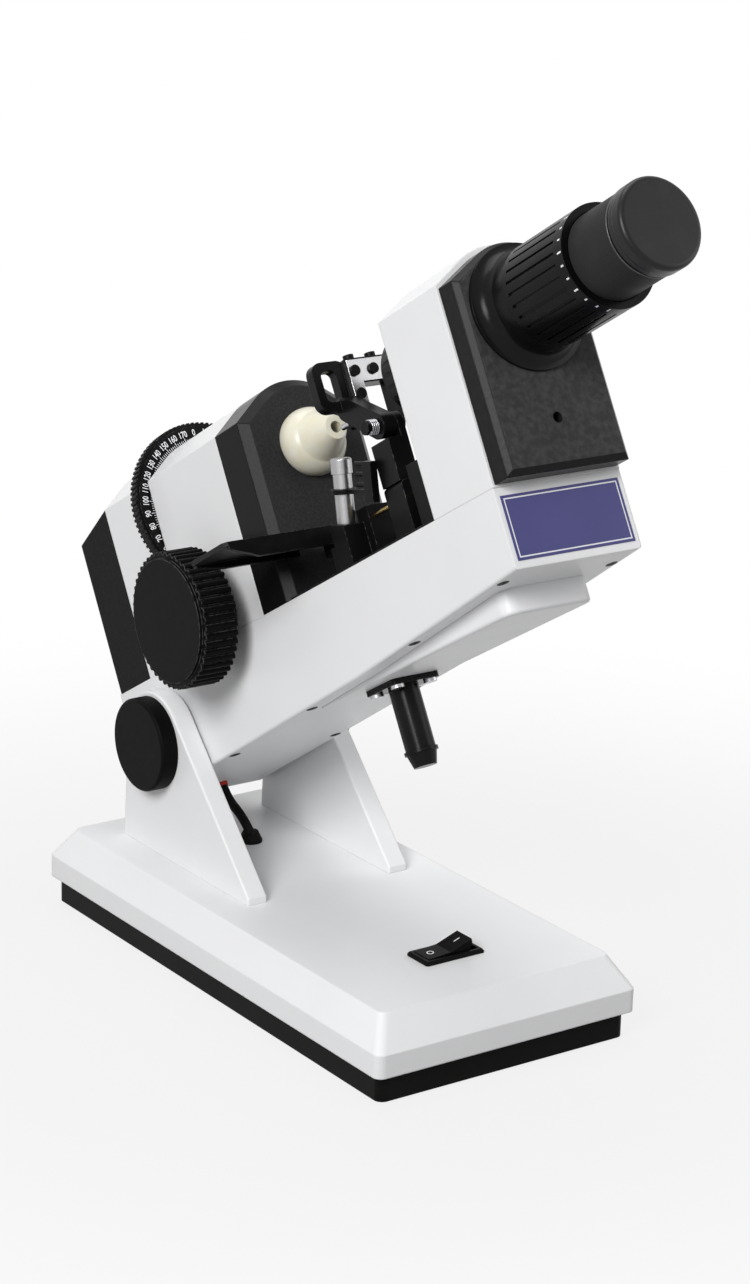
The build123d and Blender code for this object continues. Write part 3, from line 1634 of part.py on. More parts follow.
with BuildPart() as lamp_lead:
    with BuildLine():
        lead_path = FilletPolyline(*lead_points, radius=lead_radii)
    with BuildSketch(Plane(origin=lead_start, z_dir=lead_down - lead_start)):
        Circle(lead_radius)
    sweep()
print("lamp lead length", round(lead_path.length, 1))
print("lamp lead volume", round(lamp_lead.part.volume, 1))
print("section by length", round(math.pi * lead_radius**2 * lead_path.length, 1))

# ================================================================ files
pieces = {
    "base_tray": base_tray,
    "rubber_feet": rubber_feet,
    "base_cover": base_cover,
    "base_screws": base_screws,
    "bracket_left": bracket_left,
    "bracket_right": bracket_right,
    "friction_washers": friction_washers,
    "switch_body": switch_body,
    "switch_rocker": switch_rocker,
    "power_inlet": power_inlet,
    "lead_grommet": lead_grommet,
    "lamp_lead": lamp_lead,
    "tilt_shaft": tilt_shaft,
    "tilt_knob_left": tilt_knob_left,
    "tilt_knob_right": tilt_knob_right,
    "beam": beam,
    "belly_cover": belly_cover,
    "guide_tube": guide_tube,
    "flange_screws": flange_screws,
    "rear_housing": rear_housing,
    "rear_cap": rear_cap,
    "front_bezel": front_bezel,
    "condenser_tube": condenser_tube,
    "condenser_lens": condenser_lens,
    "lamp_house": lamp_house,
    "lamp": lamp,
    "axis_dial": axis_dial,
    "dial_scale": dial_scale,
    "target_cell": target_cell,
    "target_plate": target_plate,
    "target_carriage": target_carriage,
    "power_knob": power_knob,
    "pinion_shaft": pinion_shaft,
    "nose": nose,
    "standard_lens": standard_lens,
    "tower": tower,
    "top_plugs": top_plugs,
    "front_plate": front_plate,
    "telescope_tube": telescope_tube,
    "objective_lens": objective_lens,
    "prism_ring": prism_ring,
    "eyepiece_neck": eyepiece_neck,
    "diopter_ring": diopter_ring,
    "eyepiece_barrel": eyepiece_barrel,
    "eyepiece_lenses": eyepiece_lenses,
    "dust_cap": dust_cap,
    "mechanism_bed": mechanism_bed,
    "brass_rods": brass_rods,
    "steel_rods": steel_rods,
    "holder_carriage": holder_carriage,
    "holder_arm": holder_arm,
    "holder_pins": holder_pins,
    "fork_plate": fork_plate,
    "fork_screws": fork_screws,
    "arm_pin": arm_pin,
    "arm_spring": arm_spring,
    "table_plate": table_plate,
    "table_column": table_column,
    "marker_post": marker_post,
    "marker_arm": marker_arm,
}

os.makedirs("parts", exist_ok=True)
for name, piece in pieces.items():
    piece.part.label = name
    export_step(piece.part, f"parts/{name}.step")
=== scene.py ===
"""Studio scene of a manual lensmeter.

It gives every part its finish and adds the scales and marks, the small trim, a floor, light and a camera.
The head's own directions are used throughout: x across, u along the optical axis towards the eyepiece,
n square to both, all in millimetres from the tilting pivot.
"""

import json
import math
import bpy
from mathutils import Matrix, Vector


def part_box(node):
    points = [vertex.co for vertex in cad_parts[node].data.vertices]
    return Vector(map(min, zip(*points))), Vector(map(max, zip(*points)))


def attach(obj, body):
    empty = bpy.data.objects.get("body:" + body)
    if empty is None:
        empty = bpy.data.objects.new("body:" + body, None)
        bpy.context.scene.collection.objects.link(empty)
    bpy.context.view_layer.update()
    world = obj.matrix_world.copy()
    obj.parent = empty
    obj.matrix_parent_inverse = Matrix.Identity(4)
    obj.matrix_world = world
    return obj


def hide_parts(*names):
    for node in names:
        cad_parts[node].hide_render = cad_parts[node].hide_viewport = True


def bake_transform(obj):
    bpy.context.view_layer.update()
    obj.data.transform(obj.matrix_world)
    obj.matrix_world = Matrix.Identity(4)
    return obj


bl_info = {
    "name": "Manual Lensmeter",
    "version": (1, 0, 0),
    "blender": (4, 5, 0),
    "location": "3D View > Sidebar > Lensmeter",
    "description": "Finishes, marks, small trim and a studio for a manual lensmeter",
    "category": "Object",
}

import bmesh
import bpy
from mathutils import Matrix, Vector
from mathutils.bvhtree import BVHTree

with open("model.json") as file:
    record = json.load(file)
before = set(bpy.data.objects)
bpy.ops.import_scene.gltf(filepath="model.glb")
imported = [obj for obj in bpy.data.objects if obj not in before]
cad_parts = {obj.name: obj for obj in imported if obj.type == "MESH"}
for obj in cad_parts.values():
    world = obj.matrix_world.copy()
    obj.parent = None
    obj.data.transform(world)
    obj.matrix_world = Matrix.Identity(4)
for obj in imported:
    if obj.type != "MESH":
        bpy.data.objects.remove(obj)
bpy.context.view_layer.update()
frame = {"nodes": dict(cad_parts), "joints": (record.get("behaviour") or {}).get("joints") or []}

MM = 0.001
NODES = frame["nodes"]
JOINTS = {joint["name"]: joint for joint in frame["joints"]}
PIVOT = Vector(JOINTS["head_tilt"]["pos_m"])
ALONG = Vector(JOINTS["axis_turn"]["axis"]).normalized()
UPRIGHT = Vector(JOINTS["table_lift"]["axis"]).normalized()
ACROSS = UPRIGHT.cross(ALONG)
OPTICAL_AXIS = (Vector(JOINTS["axis_turn"]["pos_m"]) - PIVOT).dot(UPRIGHT) / MM
DOWN = Vector((0, 0, -1))

SCREWS_ALONG = (40.0, 112.0, 200.0, 270.0)  # u of the pairs of screws under the beam
SCREWS_ASIDE = 27.2  # and how far they stand to each side

LEAD_ALONG = -23.5  # the lamp lead's u where it leaves the beam, and its n inside and below
LEAD_INSIDE = -17.5
LEAD_BELOW = -27.5
SLEEVE_HEIGHTS = (-18.5, -20.5, -23.0)
LEAD_FOOT = 0.069  # its y where it leaves the grommet, in metres

TURNED_STEPS = 96  # faces round a turned piece
ROUND_STEPS = 32  # faces round a small ring
MARK_HEIGHT = 0.04  # how far painted marks stand up, in millimetres
LETTER_DEPTH = 0.02
LETTER_SWELL = 0.012  # how far strokes are thickened, as a share of the letters' height


# ---------------------------------------------------------------- places on the head
def head_point(x, u, n):
    """A point of the head, from millimetres across, along and square to the optical axis."""
    return PIVOT + (ACROSS * x + ALONG * u + UPRIGHT * n) * MM


def head_span(node):
    """Lowest and highest x, u and n of a CAD node, in millimetres."""
    offsets = [vertex.co - PIVOT for vertex in NODES[node].data.vertices]
    spans = [[offset.dot(direction) / MM for offset in offsets] for direction in (ACROSS, ALONG, UPRIGHT)]
    return [min(span) for span in spans], [max(span) for span in spans]


def plane_matrix(origin, right, up):
    """Matrix of a flat drawing in millimetres at origin: x on right, y on up, z facing out."""
    right, up = right.normalized(), up.normalized()
    out = right.cross(up)
    rotation = Matrix((right, up, out)).transposed().to_4x4()
    return Matrix.Translation(origin) @ rotation @ Matrix.Scale(MM, 4)


def spoke(angle):
    """Direction square to the optical axis, at that angle from the head's upright."""
    return ACROSS * math.sin(angle) + UPRIGHT * math.cos(angle)


def round_plane(u, radius, angle):
    """Matrix of a tangent plane on a cylinder about the optical axis; x runs round it, y along it."""
    outward = spoke(angle)
    origin = head_point(0, u, OPTICAL_AXIS) + outward * radius * MM
    return plane_matrix(origin, ALONG.cross(outward), ALONG)


def dial_plane(u, radius, angle):
    """Matrix of a drawing on a disc square to the optical axis, seen from the eyepiece; y points outwards."""
    outward = spoke(angle)
    origin = head_point(0, u, OPTICAL_AXIS) + outward * radius * MM
    return plane_matrix(origin, outward.cross(ALONG), outward)


# ---------------------------------------------------------------- meshes
def piece(name, mesh, material, body):
    """A new object of the instrument that rides on one of its bodies."""
    mesh.materials.append(material)
    obj = bpy.data.objects.new(name, mesh)
    bpy.context.scene.collection.objects.link(obj)
    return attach(obj, body)


def mesh_from(name, build):
    """A mesh filled by build, which gets an empty bmesh."""
    work = bmesh.new()
    build(work)
    bmesh.ops.recalc_face_normals(work, faces=work.faces)
    mesh = bpy.data.meshes.new(name)
    work.to_mesh(mesh)
    work.free()
    return mesh


def smooth(mesh, angle=35):
    """Smooth shading that stops at edges sharper than angle, in degrees."""
    mesh.shade_smooth()
    mesh.set_sharp_from_angle(angle=math.radians(angle))
    return mesh


def turned(name, profile):
    """Closed ring about the optical axis; profile is its section, as (u, radius) points in millimetres."""
    def build(work):
        rings = []
        for u, radius in profile:
            centre = head_point(0, u, OPTICAL_AXIS)
            angles = [2 * math.pi * step / TURNED_STEPS for step in range(TURNED_STEPS)]
            rings.append([work.verts.new(centre + spoke(angle) * radius * MM) for angle in angles])
        for first, second in zip(rings, rings[1:] + rings[:1]):
            bridge(work, first, second)
    return smooth(mesh_from(name, build))


def band(rear, front, inner, outer):
    """Section of a square-edged ring, for turned."""
    return [(rear, inner), (rear, outer), (front, outer), (front, inner)]


def bridge(work, first, second):
    """Faces between two rings of the same number of points; the second may be a single point."""
    count = len(first)
    for step in range(count):
        following = (step + 1) % count
        if len(second) == 1:
            work.faces.new((first[step], first[following], second[0]))
        else:
            work.faces.new((first[step], first[following], second[following], second[step]))


def slab(work, matrix, width, height, thickness, bevel=0.0):
    """Adds a plate that stands on the plane of matrix, with its edges rounded by bevel."""
    made = bmesh.ops.create_cube(work, size=1)["verts"]
    for vertex in made:
        x, y, z = vertex.co
        vertex.co = Vector((x * width, y * height, (z + 0.5) * thickness))
    if bevel:
        edges = list({edge for vertex in made for edge in vertex.link_edges})
        rounded = bmesh.ops.bevel(
            work, geom=edges, offset=bevel, segments=2, affect="EDGES", profile=0.5,
        )
        made = rounded["verts"]
    bmesh.ops.transform(work, matrix=matrix, verts=made)


def circle(work, matrix, radius, height, steps):
    """New points in a circle, at that height over the plane of matrix."""
    turns = [2 * math.pi * step / steps for step in range(steps)]
    places = [Vector((radius * math.cos(turn), radius * math.sin(turn), height)) for turn in turns]
    return [work.verts.new(matrix @ place) for place in places]


def disc(work, matrix, radius, thickness, steps, bevel):
    """Adds a round disc standing on the plane of matrix, with a rounded upper edge."""
    rings = [(radius, 0.0), (radius, thickness - bevel), (radius - bevel, thickness), (0.0, thickness)]
    made = [circle(work, matrix, size, height, steps if size else 1) for size, height in rings]
    for first, second in zip(made, made[1:]):
        bridge(work, first, second)
    work.faces.new(made[0])


def lettering(texts, size):
    """A mesh of short texts: each entry is the text and the matrix of the plane that it stands centred on."""
    def build(work):
        for words, matrix in texts:
            curve = bpy.data.curves.new("letters", "FONT")
            curve.body = words
            curve.size = size
            curve.align_x = "CENTER"
            curve.align_y = "CENTER"
            curve.extrude = LETTER_DEPTH
            curve.offset = size * LETTER_SWELL
            curve.resolution_u = 3
            holder = bpy.data.objects.new("letters", curve)
            flat = bpy.data.meshes.new_from_object(holder)
            flat.transform(matrix)
            work.from_mesh(flat)
            bpy.data.objects.remove(holder)
            bpy.data.meshes.remove(flat)
            bpy.data.curves.remove(curve)
    return build


# ---------------------------------------------------------------- finishes
# Grey laid on moulding edges: partly wear, partly a painted highlight.
EDGE_WEAR_AND_HIGHLIGHT = (0.1, 0.1, 0.103)
BARE_METAL = (0.3, 0.3, 0.31)
RUBBER_BLOOM = (0.045, 0.045, 0.047)
RUBBER_DUST = (0.035, 0.035, 0.035)
# Pale grey of the barrel's bead: a painted highlight.
LIP_PAINTED_HIGHLIGHT = (0.075, 0.075, 0.078)
LENS_DUST = (0.5, 0.5, 0.5)
WASHER_FIBRE = (0.55, 0.54, 0.5)
LENS_GLASS = (0.86, 0.92, 0.93)
TARGET_GLASS = (0.12, 0.42, 0.2)
LAMP_GLASS = (0.95, 0.93, 0.86)


class Finish:
    """A node material that is built up step by step; lengths are in millimetres of the real surface."""

    def __init__(self, name, colour, roughness, metallic=0.0):
        self.material = bpy.data.materials.new(name)
        self.material.use_nodes = True
        self.tree = self.material.node_tree
        self.shader = self.tree.nodes["Principled BSDF"]
        self.shader.inputs["Base Color"].default_value = (*colour[:3], 1)
        self.shader.inputs["Roughness"].default_value = roughness
        self.shader.inputs["Metallic"].default_value = metallic
        self.colour = self.shader.inputs["Base Color"]
        self.place = self.node("ShaderNodeTexCoord").outputs["Object"]
        self.material.diffuse_color = (*colour[:3], 1)

    def node(self, kind, **settings):
        """A new node with those settings."""
        made = self.tree.nodes.new(kind)
        for key, value in settings.items():
            setattr(made, key, value)
        return made

    def join(self, source, target):
        """Links an output to an input."""
        self.tree.links.new(source, target)

    def set(self, **values):
        """Shader sockets that are the same all over, such as Coat_Weight=0.2."""
        for key, value in values.items():
            self.shader.inputs[key.replace("_", " ")].default_value = value
        return self

    def noise(self, size, detail, stretch=(1, 1, 1)):
        """Soft noise whose lumps are about size across; stretch lengthens them along x, y or z."""
        scaled = self.node("ShaderNodeMapping")
        scaled.inputs["Scale"].default_value = [1 / factor for factor in stretch]
        self.join(self.place, scaled.inputs["Vector"])
        texture = self.node("ShaderNodeTexNoise")
        texture.inputs["Scale"].default_value = 1 / (size * MM)
        texture.inputs["Detail"].default_value = detail
        self.join(scaled.outputs["Vector"], texture.inputs["Vector"])
        return texture.outputs["Fac"]

    def ramp(self, source, low, high, kind="SMOOTHSTEP"):
        """0 where source is at low, 1 where it is at high."""
        spread = self.node("ShaderNodeMapRange", interpolation_type=kind)
        spread.inputs["From Min"].default_value = low
        spread.inputs["From Max"].default_value = high
        self.join(source, spread.inputs["Value"])
        return spread.outputs["Result"]

    def tint(self, factor, colour, share):
        """Lays colour over what the surface has so far, where factor is high."""
        mixed = self.node("ShaderNodeMix", data_type="RGBA")
        scaled = self.node("ShaderNodeMath", operation="MULTIPLY")
        self.join(factor, scaled.inputs[0])
        scaled.inputs[1].default_value = share
        self.join(scaled.outputs[0], mixed.inputs["Factor"])
        below, above = [socket for socket in mixed.inputs if socket.type == "RGBA"]
        if self.colour.is_output:
            self.join(self.colour, below)
        else:
            below.default_value = self.colour.default_value
        above.default_value = (*colour[:3], 1)
        self.colour = next(socket for socket in mixed.outputs if socket.type == "RGBA")
        self.join(self.colour, self.shader.inputs["Base Color"])

    def mottle(self, colour, share, size, low, high, detail=3):
        """Lays colour in soft patches about size across, where their noise rises from low to high."""
        self.tint(self.ramp(self.noise(size, detail), low, high), colour, share)

    def polish(self, source, low, high):
        """Roughness that runs from low to high with source."""
        spread = self.node("ShaderNodeMapRange")
        spread.inputs["To Min"].default_value = low
        spread.inputs["To Max"].default_value = high
        self.join(source, spread.inputs["Value"])
        self.join(spread.outputs["Result"], self.shader.inputs["Roughness"])

    def relief(self, source, depth, edge):
        """Bump of that depth, over edges rounded to a radius of edge."""
        bump = self.node("ShaderNodeBump")
        bump.inputs["Distance"].default_value = depth * MM
        bump.inputs["Strength"].default_value = 1.0
        self.join(source, bump.inputs["Height"])
        rounding = self.node("ShaderNodeBevel", samples=6)
        rounding.inputs["Radius"].default_value = edge * MM
        self.join(rounding.outputs["Normal"], bump.inputs["Normal"])
        self.join(bump.outputs["Normal"], self.shader.inputs["Normal"])

    def edges(self, radius, flat=0.985, bent=0.9):
        """1 where rounding edges to that radius would turn the surface, 0 on open faces."""
        rounding = self.node("ShaderNodeBevel", samples=6)
        rounding.inputs["Radius"].default_value = radius * MM
        surface = self.node("ShaderNodeNewGeometry")
        turn = self.node("ShaderNodeVectorMath", operation="DOT_PRODUCT")
        self.join(rounding.outputs["Normal"], turn.inputs[0])
        self.join(surface.outputs["Normal"], turn.inputs[1])
        return self.ramp(turn.outputs["Value"], flat, bent, "LINEAR")

    def patchy_edges(self, radius, size, low, high):
        """1 along edges, broken up into patches about size across."""
        product = self.node("ShaderNodeMath", operation="MULTIPLY")
        self.join(self.edges(radius), product.inputs[0])
        self.join(self.ramp(self.noise(size, 3), low, high), product.inputs[1])
        return product.outputs[0]

    def turned_from(self, direction, ahead=0.97, aside=0.9):
        """1 on faces and bevels that look away from direction, 0 on those that face it."""
        turn = self.node("ShaderNodeVectorMath", operation="DOT_PRODUCT")
        self.join(self.place.node.outputs["Normal"], turn.inputs[0])
        turn.inputs[1].default_value = direction
        return self.ramp(turn.outputs["Value"], ahead, aside, "LINEAR")


def darker(colour, share):
    """That share of a colour's light."""
    return tuple(channel * share for channel in colour[:3])


def lighter(colour, factor, lift):
    """A colour times factor, with lift added all round; a negative lift takes off."""
    return tuple(min(channel * factor + lift, 1) for channel in colour[:3])


def satin_paint(name, colour):
    """White stove enamel: faint orange peel, slightly uneven sheen, softened edges."""
    finish = Finish(name, colour, roughness=0.36)
    finish.mottle(darker(colour, 0.955), 0.6, size=55, low=0.35, high=0.75)
    finish.mottle(darker(colour, 0.93), 0.25, size=2.4, low=0.62, high=0.8, detail=4)
    finish.polish(finish.noise(9, detail=4), 0.3, 0.46)
    finish.relief(finish.noise(1.1, detail=2), 0.012, edge=0.9)
    return finish.set(Specular_IOR_Level=0.34, Coat_Weight=0.06, Coat_Roughness=0.25).material


def leather_grain(name, colour, lift, lump=1.1, depth=0.04, edge=0.8, front=None):
    """Black moulding with a mottled grain of lumps about that size, and smooth dark edges.

    Where front is given, every face and bevel that looks another way is smooth and dark too.
    """
    finish = Finish(name, colour, roughness=0.5)
    grain = finish.noise(lump, detail=3)
    finish.tint(finish.ramp(grain, 0.3, 0.75), lighter(colour, 2.2, lift), 0.85)
    finish.mottle(lighter(colour, 1.8, lift), 0.4, size=9, low=0.5, high=0.8, detail=4)
    smooth_parts = finish.turned_from(front) if front else finish.edges(2 * edge)
    finish.tint(smooth_parts, darker(colour, 0.25 if front else 0.6), 0.9)
    finish.polish(smooth_parts, 0.52, 0.24)
    finish.relief(grain, depth, edge=edge)
    return finish.set(Specular_IOR_Level=0.06).material


def fine_moulding(name, colour, roughness, edge=0.5, wear_and_highlight=0.3):
    """Black plastic with a fine spark-eroded texture; the last argument sets how far its edges are lightened,
    partly as wear and partly as a painted highlight.
    """
    finish = Finish(name, colour, roughness)
    speckle = finish.noise(0.35, detail=2)
    finish.tint(finish.ramp(speckle, 0.4, 0.7), lighter(colour, 1.6, 0.001), 0.6)
    finish.mottle(lighter(colour, 1.5, 0.001), 0.5, size=16, low=0.45, high=0.75)
    # Pale grey along the edges: partly wear, partly a painted highlight.
    finish.tint(finish.patchy_edges(edge, size=2.2, low=0.3, high=0.6), EDGE_WEAR_AND_HIGHLIGHT, wear_and_highlight)
    finish.polish(finish.noise(4, detail=3), roughness - 0.08, roughness + 0.1)
    finish.relief(speckle, 0.02, edge=edge)
    return finish.set(Specular_IOR_Level=0.04).material


def glossy_moulding(name, colour, roughness=0.2, edge=0.4):
    """Smooth black plastic or lacquer with a faint waviness and fine handling marks."""
    finish = Finish(name, colour, roughness)
    finish.mottle(lighter(colour, 1.6, 0.001), 0.5, size=12, low=0.5, high=0.8, detail=4)
    finish.polish(finish.noise(5, detail=4), roughness - 0.05, roughness + 0.12)
    finish.relief(finish.noise(7, detail=1), 0.002, edge=edge)
    return finish.set(Specular_IOR_Level=0.1).material


def black_anodised(name, colour, roughness=0.33):
    """Black anodised aluminium: satin, fine turning lines, bright metal where edges are worn."""
    edge = 0.35
    finish = Finish(name, colour, roughness, metallic=0.35)
    lines = finish.noise(0.5, detail=2, stretch=(9, 1, 1))
    finish.mottle(lighter(colour, 1.7, 0.003), 0.5, size=11, low=0.45, high=0.75)
    finish.tint(finish.patchy_edges(edge, size=1.6, low=0.46, high=0.66), BARE_METAL, 0.3)
    finish.polish(lines, roughness - 0.08, roughness + 0.12)
    finish.relief(lines, 0.006, edge=edge)
    return finish.set(Specular_IOR_Level=0.08).material


def bright_metal(name, colour, roughness, stretch=(1, 6, 6), edge=0.3):
    """Bare or plated metal with fine brushing and a little tarnish."""
    finish = Finish(name, colour, roughness, metallic=1.0)
    brushing = finish.noise(0.4, detail=3, stretch=stretch)
    finish.mottle(darker(colour, 0.62), 0.5, size=6, low=0.5, high=0.85, detail=4)
    finish.polish(brushing, max(roughness - 0.07, 0.05), roughness + 0.12)
    finish.relief(brushing, 0.006, edge=edge)
    return finish.material


def ivory_nylon(name, colour):
    """Turned ivory nylon: light passes a little way into it, and it is faintly mottled and yellowed."""
    finish = Finish(name, colour, roughness=0.34)
    yellowed = (colour[0] * 0.97, colour[1] * 0.93, colour[2] * 0.8)
    finish.mottle(yellowed, 0.55, size=5, low=0.4, high=0.75)
    finish.polish(finish.noise(2.5, detail=3), 0.27, 0.42)
    finish.relief(finish.noise(0.7, detail=2), 0.012, edge=0.6)
    finish.set(Subsurface_Weight=0.25, Subsurface_Scale=0.35, Subsurface_Radius=(0.006, 0.005, 0.003))
    return finish.set(Coat_Weight=0.1).material


def soft_rubber(name, colour, roughness, gloss=0.08, bloom=0.35):
    """Black rubber with a dusty bloom in patches; gloss is its specular level."""
    finish = Finish(name, colour, roughness)
    finish.mottle(RUBBER_BLOOM, bloom, size=9, low=0.45, high=0.8, detail=5)
    finish.mottle(RUBBER_DUST, 0.8 * bloom, size=0.9, low=0.55, high=0.75)
    finish.polish(finish.noise(6, detail=4), roughness - 0.12, roughness + 0.1)
    finish.relief(finish.noise(0.5, detail=2), 0.02, edge=0.8)
    return finish.set(Specular_IOR_Level=gloss).material


def clear_glass(name, colour):
    """Coated optical glass with a few specks of dust."""
    finish = Finish(name, colour, roughness=0.03)
    finish.mottle(LENS_DUST, 0.15, size=0.5, low=0.72, high=0.78, detail=2)
    finish.polish(finish.ramp(finish.noise(3, detail=3), 0.5, 0.9), 0.02, 0.09)
    return finish.set(Transmission_Weight=0.92, IOR=1.52, Coat_Weight=0.3).material


def printed_film(name, colour, roughness=0.3):
    """Printed plastic film: nearly even ink under a clear, slightly wavy surface."""
    finish = Finish(name, colour, roughness)
    finish.mottle(lighter(colour, 1.15, 0.004), 0.3, size=26, low=0.3, high=0.8, detail=1)
    finish.polish(finish.noise(12, detail=2), roughness, roughness + 0.08)
    finish.relief(finish.noise(1.6, detail=2), 0.006, edge=0.2)
    return finish.set(Specular_IOR_Level=0.3, Coat_Weight=0.05, Coat_Roughness=0.15).material


def marking_ink(name, colour):
    """Opaque white paint of the marks, slightly uneven."""
    finish = Finish(name, colour, roughness=0.5)
    finish.mottle(darker(colour, 0.8), 0.6, size=0.6, low=0.5, high=0.75)
    finish.relief(finish.noise(0.3, detail=2), 0.01, edge=0.05)
    return finish.material


# ---------------------------------------------------------------- colours and sizes that can be changed
def shade(name, description, value):
    """A colour that can be changed."""
    return bpy.props.FloatVectorProperty(
        name=name, description=description, subtype="COLOR", size=3, min=0, max=1, default=value
    )


def amount(name, description, value, **limits):
    """A number that can be changed."""
    return bpy.props.FloatProperty(name=name, description=description, default=value, **limits)


def length(name, description, value, low, high):
    """A length in millimetres that can be changed."""
    return amount(name, description, value, min=low, max=high)


class LensmeterColours(bpy.types.PropertyGroup):
    """Colours of the instrument's finishes."""

    shell: shade("Shell", "Enamel of the base, brackets, beam, housing and tower", (0.855, 0.86, 0.87))
    moulding: shade("Moulding", "Rear cap, bezel and front plate", (0.0065, 0.0065, 0.007))
    tray: shade("Tray", "Black plastic under the base", (0.0055, 0.0053, 0.005))
    knob: shade("Knobs", "Black plastic of the knobs and the diopter ring", (0.003, 0.003, 0.0033))
    metal: shade("Black metal", "Anodised table, holder, dial and eyepiece", (0.0055, 0.0055, 0.006))
    nose: shade("Nose", "Ivory nylon of the nose", (0.76, 0.735, 0.615))
    rubber: shade("Rubber", "Dust cap, grommet and feet", (0.0075, 0.0075, 0.008))
    nickel: shade("Nickel", "Plated pieces", (0.64, 0.64, 0.65))
    steel: shade("Steel", "Shafts, pins and rods", (0.52, 0.52, 0.54))
    brass: shade("Brass", "Guide rods", (0.72, 0.52, 0.22))
    label: shade("Label", "Bare blue plate on the beam's front", (0.045, 0.043, 0.19))
    marks: shade("Marks", "Numbers, divisions and lines", (0.84, 0.85, 0.87))
    sleeve: shade("Sleeve", "Red sleeve on the lamp lead", (0.55, 0.03, 0.02))


class LensmeterSizes(bpy.types.PropertyGroup):
    """Sizes of the scales and trim, in millimetres."""

    numeral: length("Dial numbers", "Height of the axis dial's numbers", 4.2, 1, 6)
    numeral_step: bpy.props.IntProperty(
        name="Number step", description="Degrees between dial numbers", default=10, min=5
    )
    division: length("Division width", "Width of the dial's division lines", 0.28, 0.05, 1)
    diopter_mark: length("Diopter marks", "Height of the marks on the diopter ring", 2.4, 0.5, 4)
    label_margin: length("Label margin", "Between the label and the sides of the beam's front", 2.2, 0.5, 10)
    label_line: length("Label line", "Width of the label's border line", 0.55, 0.1, 3)
    screw: length("Screw heads", "Radius of the screws under the beam", 2.6, 0.5, 4)


class LensmeterStudio(bpy.types.PropertyGroup):
    """Camera, floor and light."""

    azimuth: amount("Azimuth", "Camera direction in degrees; 0 looks along +Y", -35.43)
    elevation: amount("Elevation", "Camera height angle in degrees", 17.74)
    roll: amount("Roll", "Camera roll in degrees", 1.56)
    distance: amount("Distance", "From camera to object", 1.467, unit="LENGTH")
    lens: amount("Lens", "Focal length on a 36 mm frame", 94.0, subtype="DISTANCE_CAMERA")
    key: amount("Key light", "Large soft light, upper left", 44.0, unit="POWER")
    fill: amount("Fill light", "Soft light from the right", 8.0, unit="POWER")
    top: amount("Top light", "Soft light overhead", 20.0, unit="POWER")
    ambient: amount("Ambient", "Level of the light from all round", 0.15, min=0)
    floor: shade("Floor", "Pale floor", (0.36, 0.36, 0.36))
    backdrop: shade("Backdrop", "What shows beyond the floor", (1.0, 1.0, 1.0))


def settings(context):
    """The scene's colours, sizes and studio."""
    scene = context.scene
    return scene.lensmeter_colours, scene.lensmeter_sizes, scene.lensmeter_studio


def dress(material, *nodes):
    """Gives CAD nodes a finish."""
    for name in nodes:
        obj = NODES[name]
        if not obj.material_slots:
            obj.data.materials.append(material)
        for slot in obj.material_slots:
            slot.material = material


def landing(node, point, direction):
    """Where a straight line from point first meets a CAD node, and the surface's outward direction there."""
    mesh = NODES[node].data
    corners = [vertex.co for vertex in mesh.vertices]
    tree = BVHTree.FromPolygons(corners, [face.vertices for face in mesh.polygons])
    place, outward, _, _ = tree.ray_cast(point, direction)
    if place is None:
        raise RuntimeError(f"nothing of {node} lies that way")
    return place, outward


def cap_seat():
    """The front end of the barrel along the axis and the radius of the dust cap on it, in millimetres."""
    _, barrel = head_span("eyepiece_barrel")
    _, cap = head_span("dust_cap")
    return barrel[1], cap[2] - OPTICAL_AXIS


# ---------------------------------------------------------------- operators
class LENSMETER_OT_shell(bpy.types.Operator):
    """Satin white enamel on the base, the brackets, the beam, the rear housing and the tower"""

    bl_idname = "lensmeter.shell"
    bl_label = "White shell"

    def execute(self, context):
        colours, _, _ = settings(context)
        dress(
            satin_paint("white enamel", colours.shell),
            "base_cover", "bracket_left", "bracket_right", "beam", "belly_cover",
            "rear_housing", "tower", "top_plugs",
        )
        return {"FINISHED"}


class LENSMETER_OT_mouldings(bpy.types.Operator):
    """Black mouldings: the tray under the base, and the grained rear cap, bezel and front plate"""

    bl_idname = "lensmeter.mouldings"
    bl_label = "Black mouldings"

    def execute(self, context):
        colours, _, _ = settings(context)
        dress(fine_moulding("tray plastic", colours.tray, 0.34, edge=0.8), "base_tray")
        rear = darker(colours.moulding, 0.55)
        bezel = lighter(colours.moulding, 1, 0.016)
        plate = lighter(colours.moulding, 1, 0.03)
        coarse = {"lift": -0.014, "lump": 2.8, "depth": 0.16, "edge": 1.2}
        dress(leather_grain("rear moulding", rear, lift=0.001), "rear_cap")
        dress(leather_grain("bezel moulding", bezel, lift=-0.014, front=ALONG), "front_bezel")
        dress(leather_grain("leathery moulding", plate, front=ALONG, **coarse), "front_plate")
        return {"FINISHED"}


class LENSMETER_OT_knobs(bpy.types.Operator):
    """Black knobs of the tilt clamp, the power drum and the diopter adjustment"""

    bl_idname = "lensmeter.knobs"
    bl_label = "Knobs"

    def execute(self, context):
        colours, _, _ = settings(context)
        clamp = fine_moulding("knob plastic", colours.knob, 0.46, wear_and_highlight=0.1)
        dress(clamp, "tilt_knob_left", "tilt_knob_right")
        # The drum's edges are lightened strongly: a painted highlight on its ribs.
        dress(fine_moulding("drum plastic", colours.knob, 0.4, edge=0.8, wear_and_highlight=0.85), "power_knob")
        dress(glossy_moulding("ring plastic", colours.knob, 0.24, edge=0.3), "diopter_ring", "prism_ring")
        return {"FINISHED"}


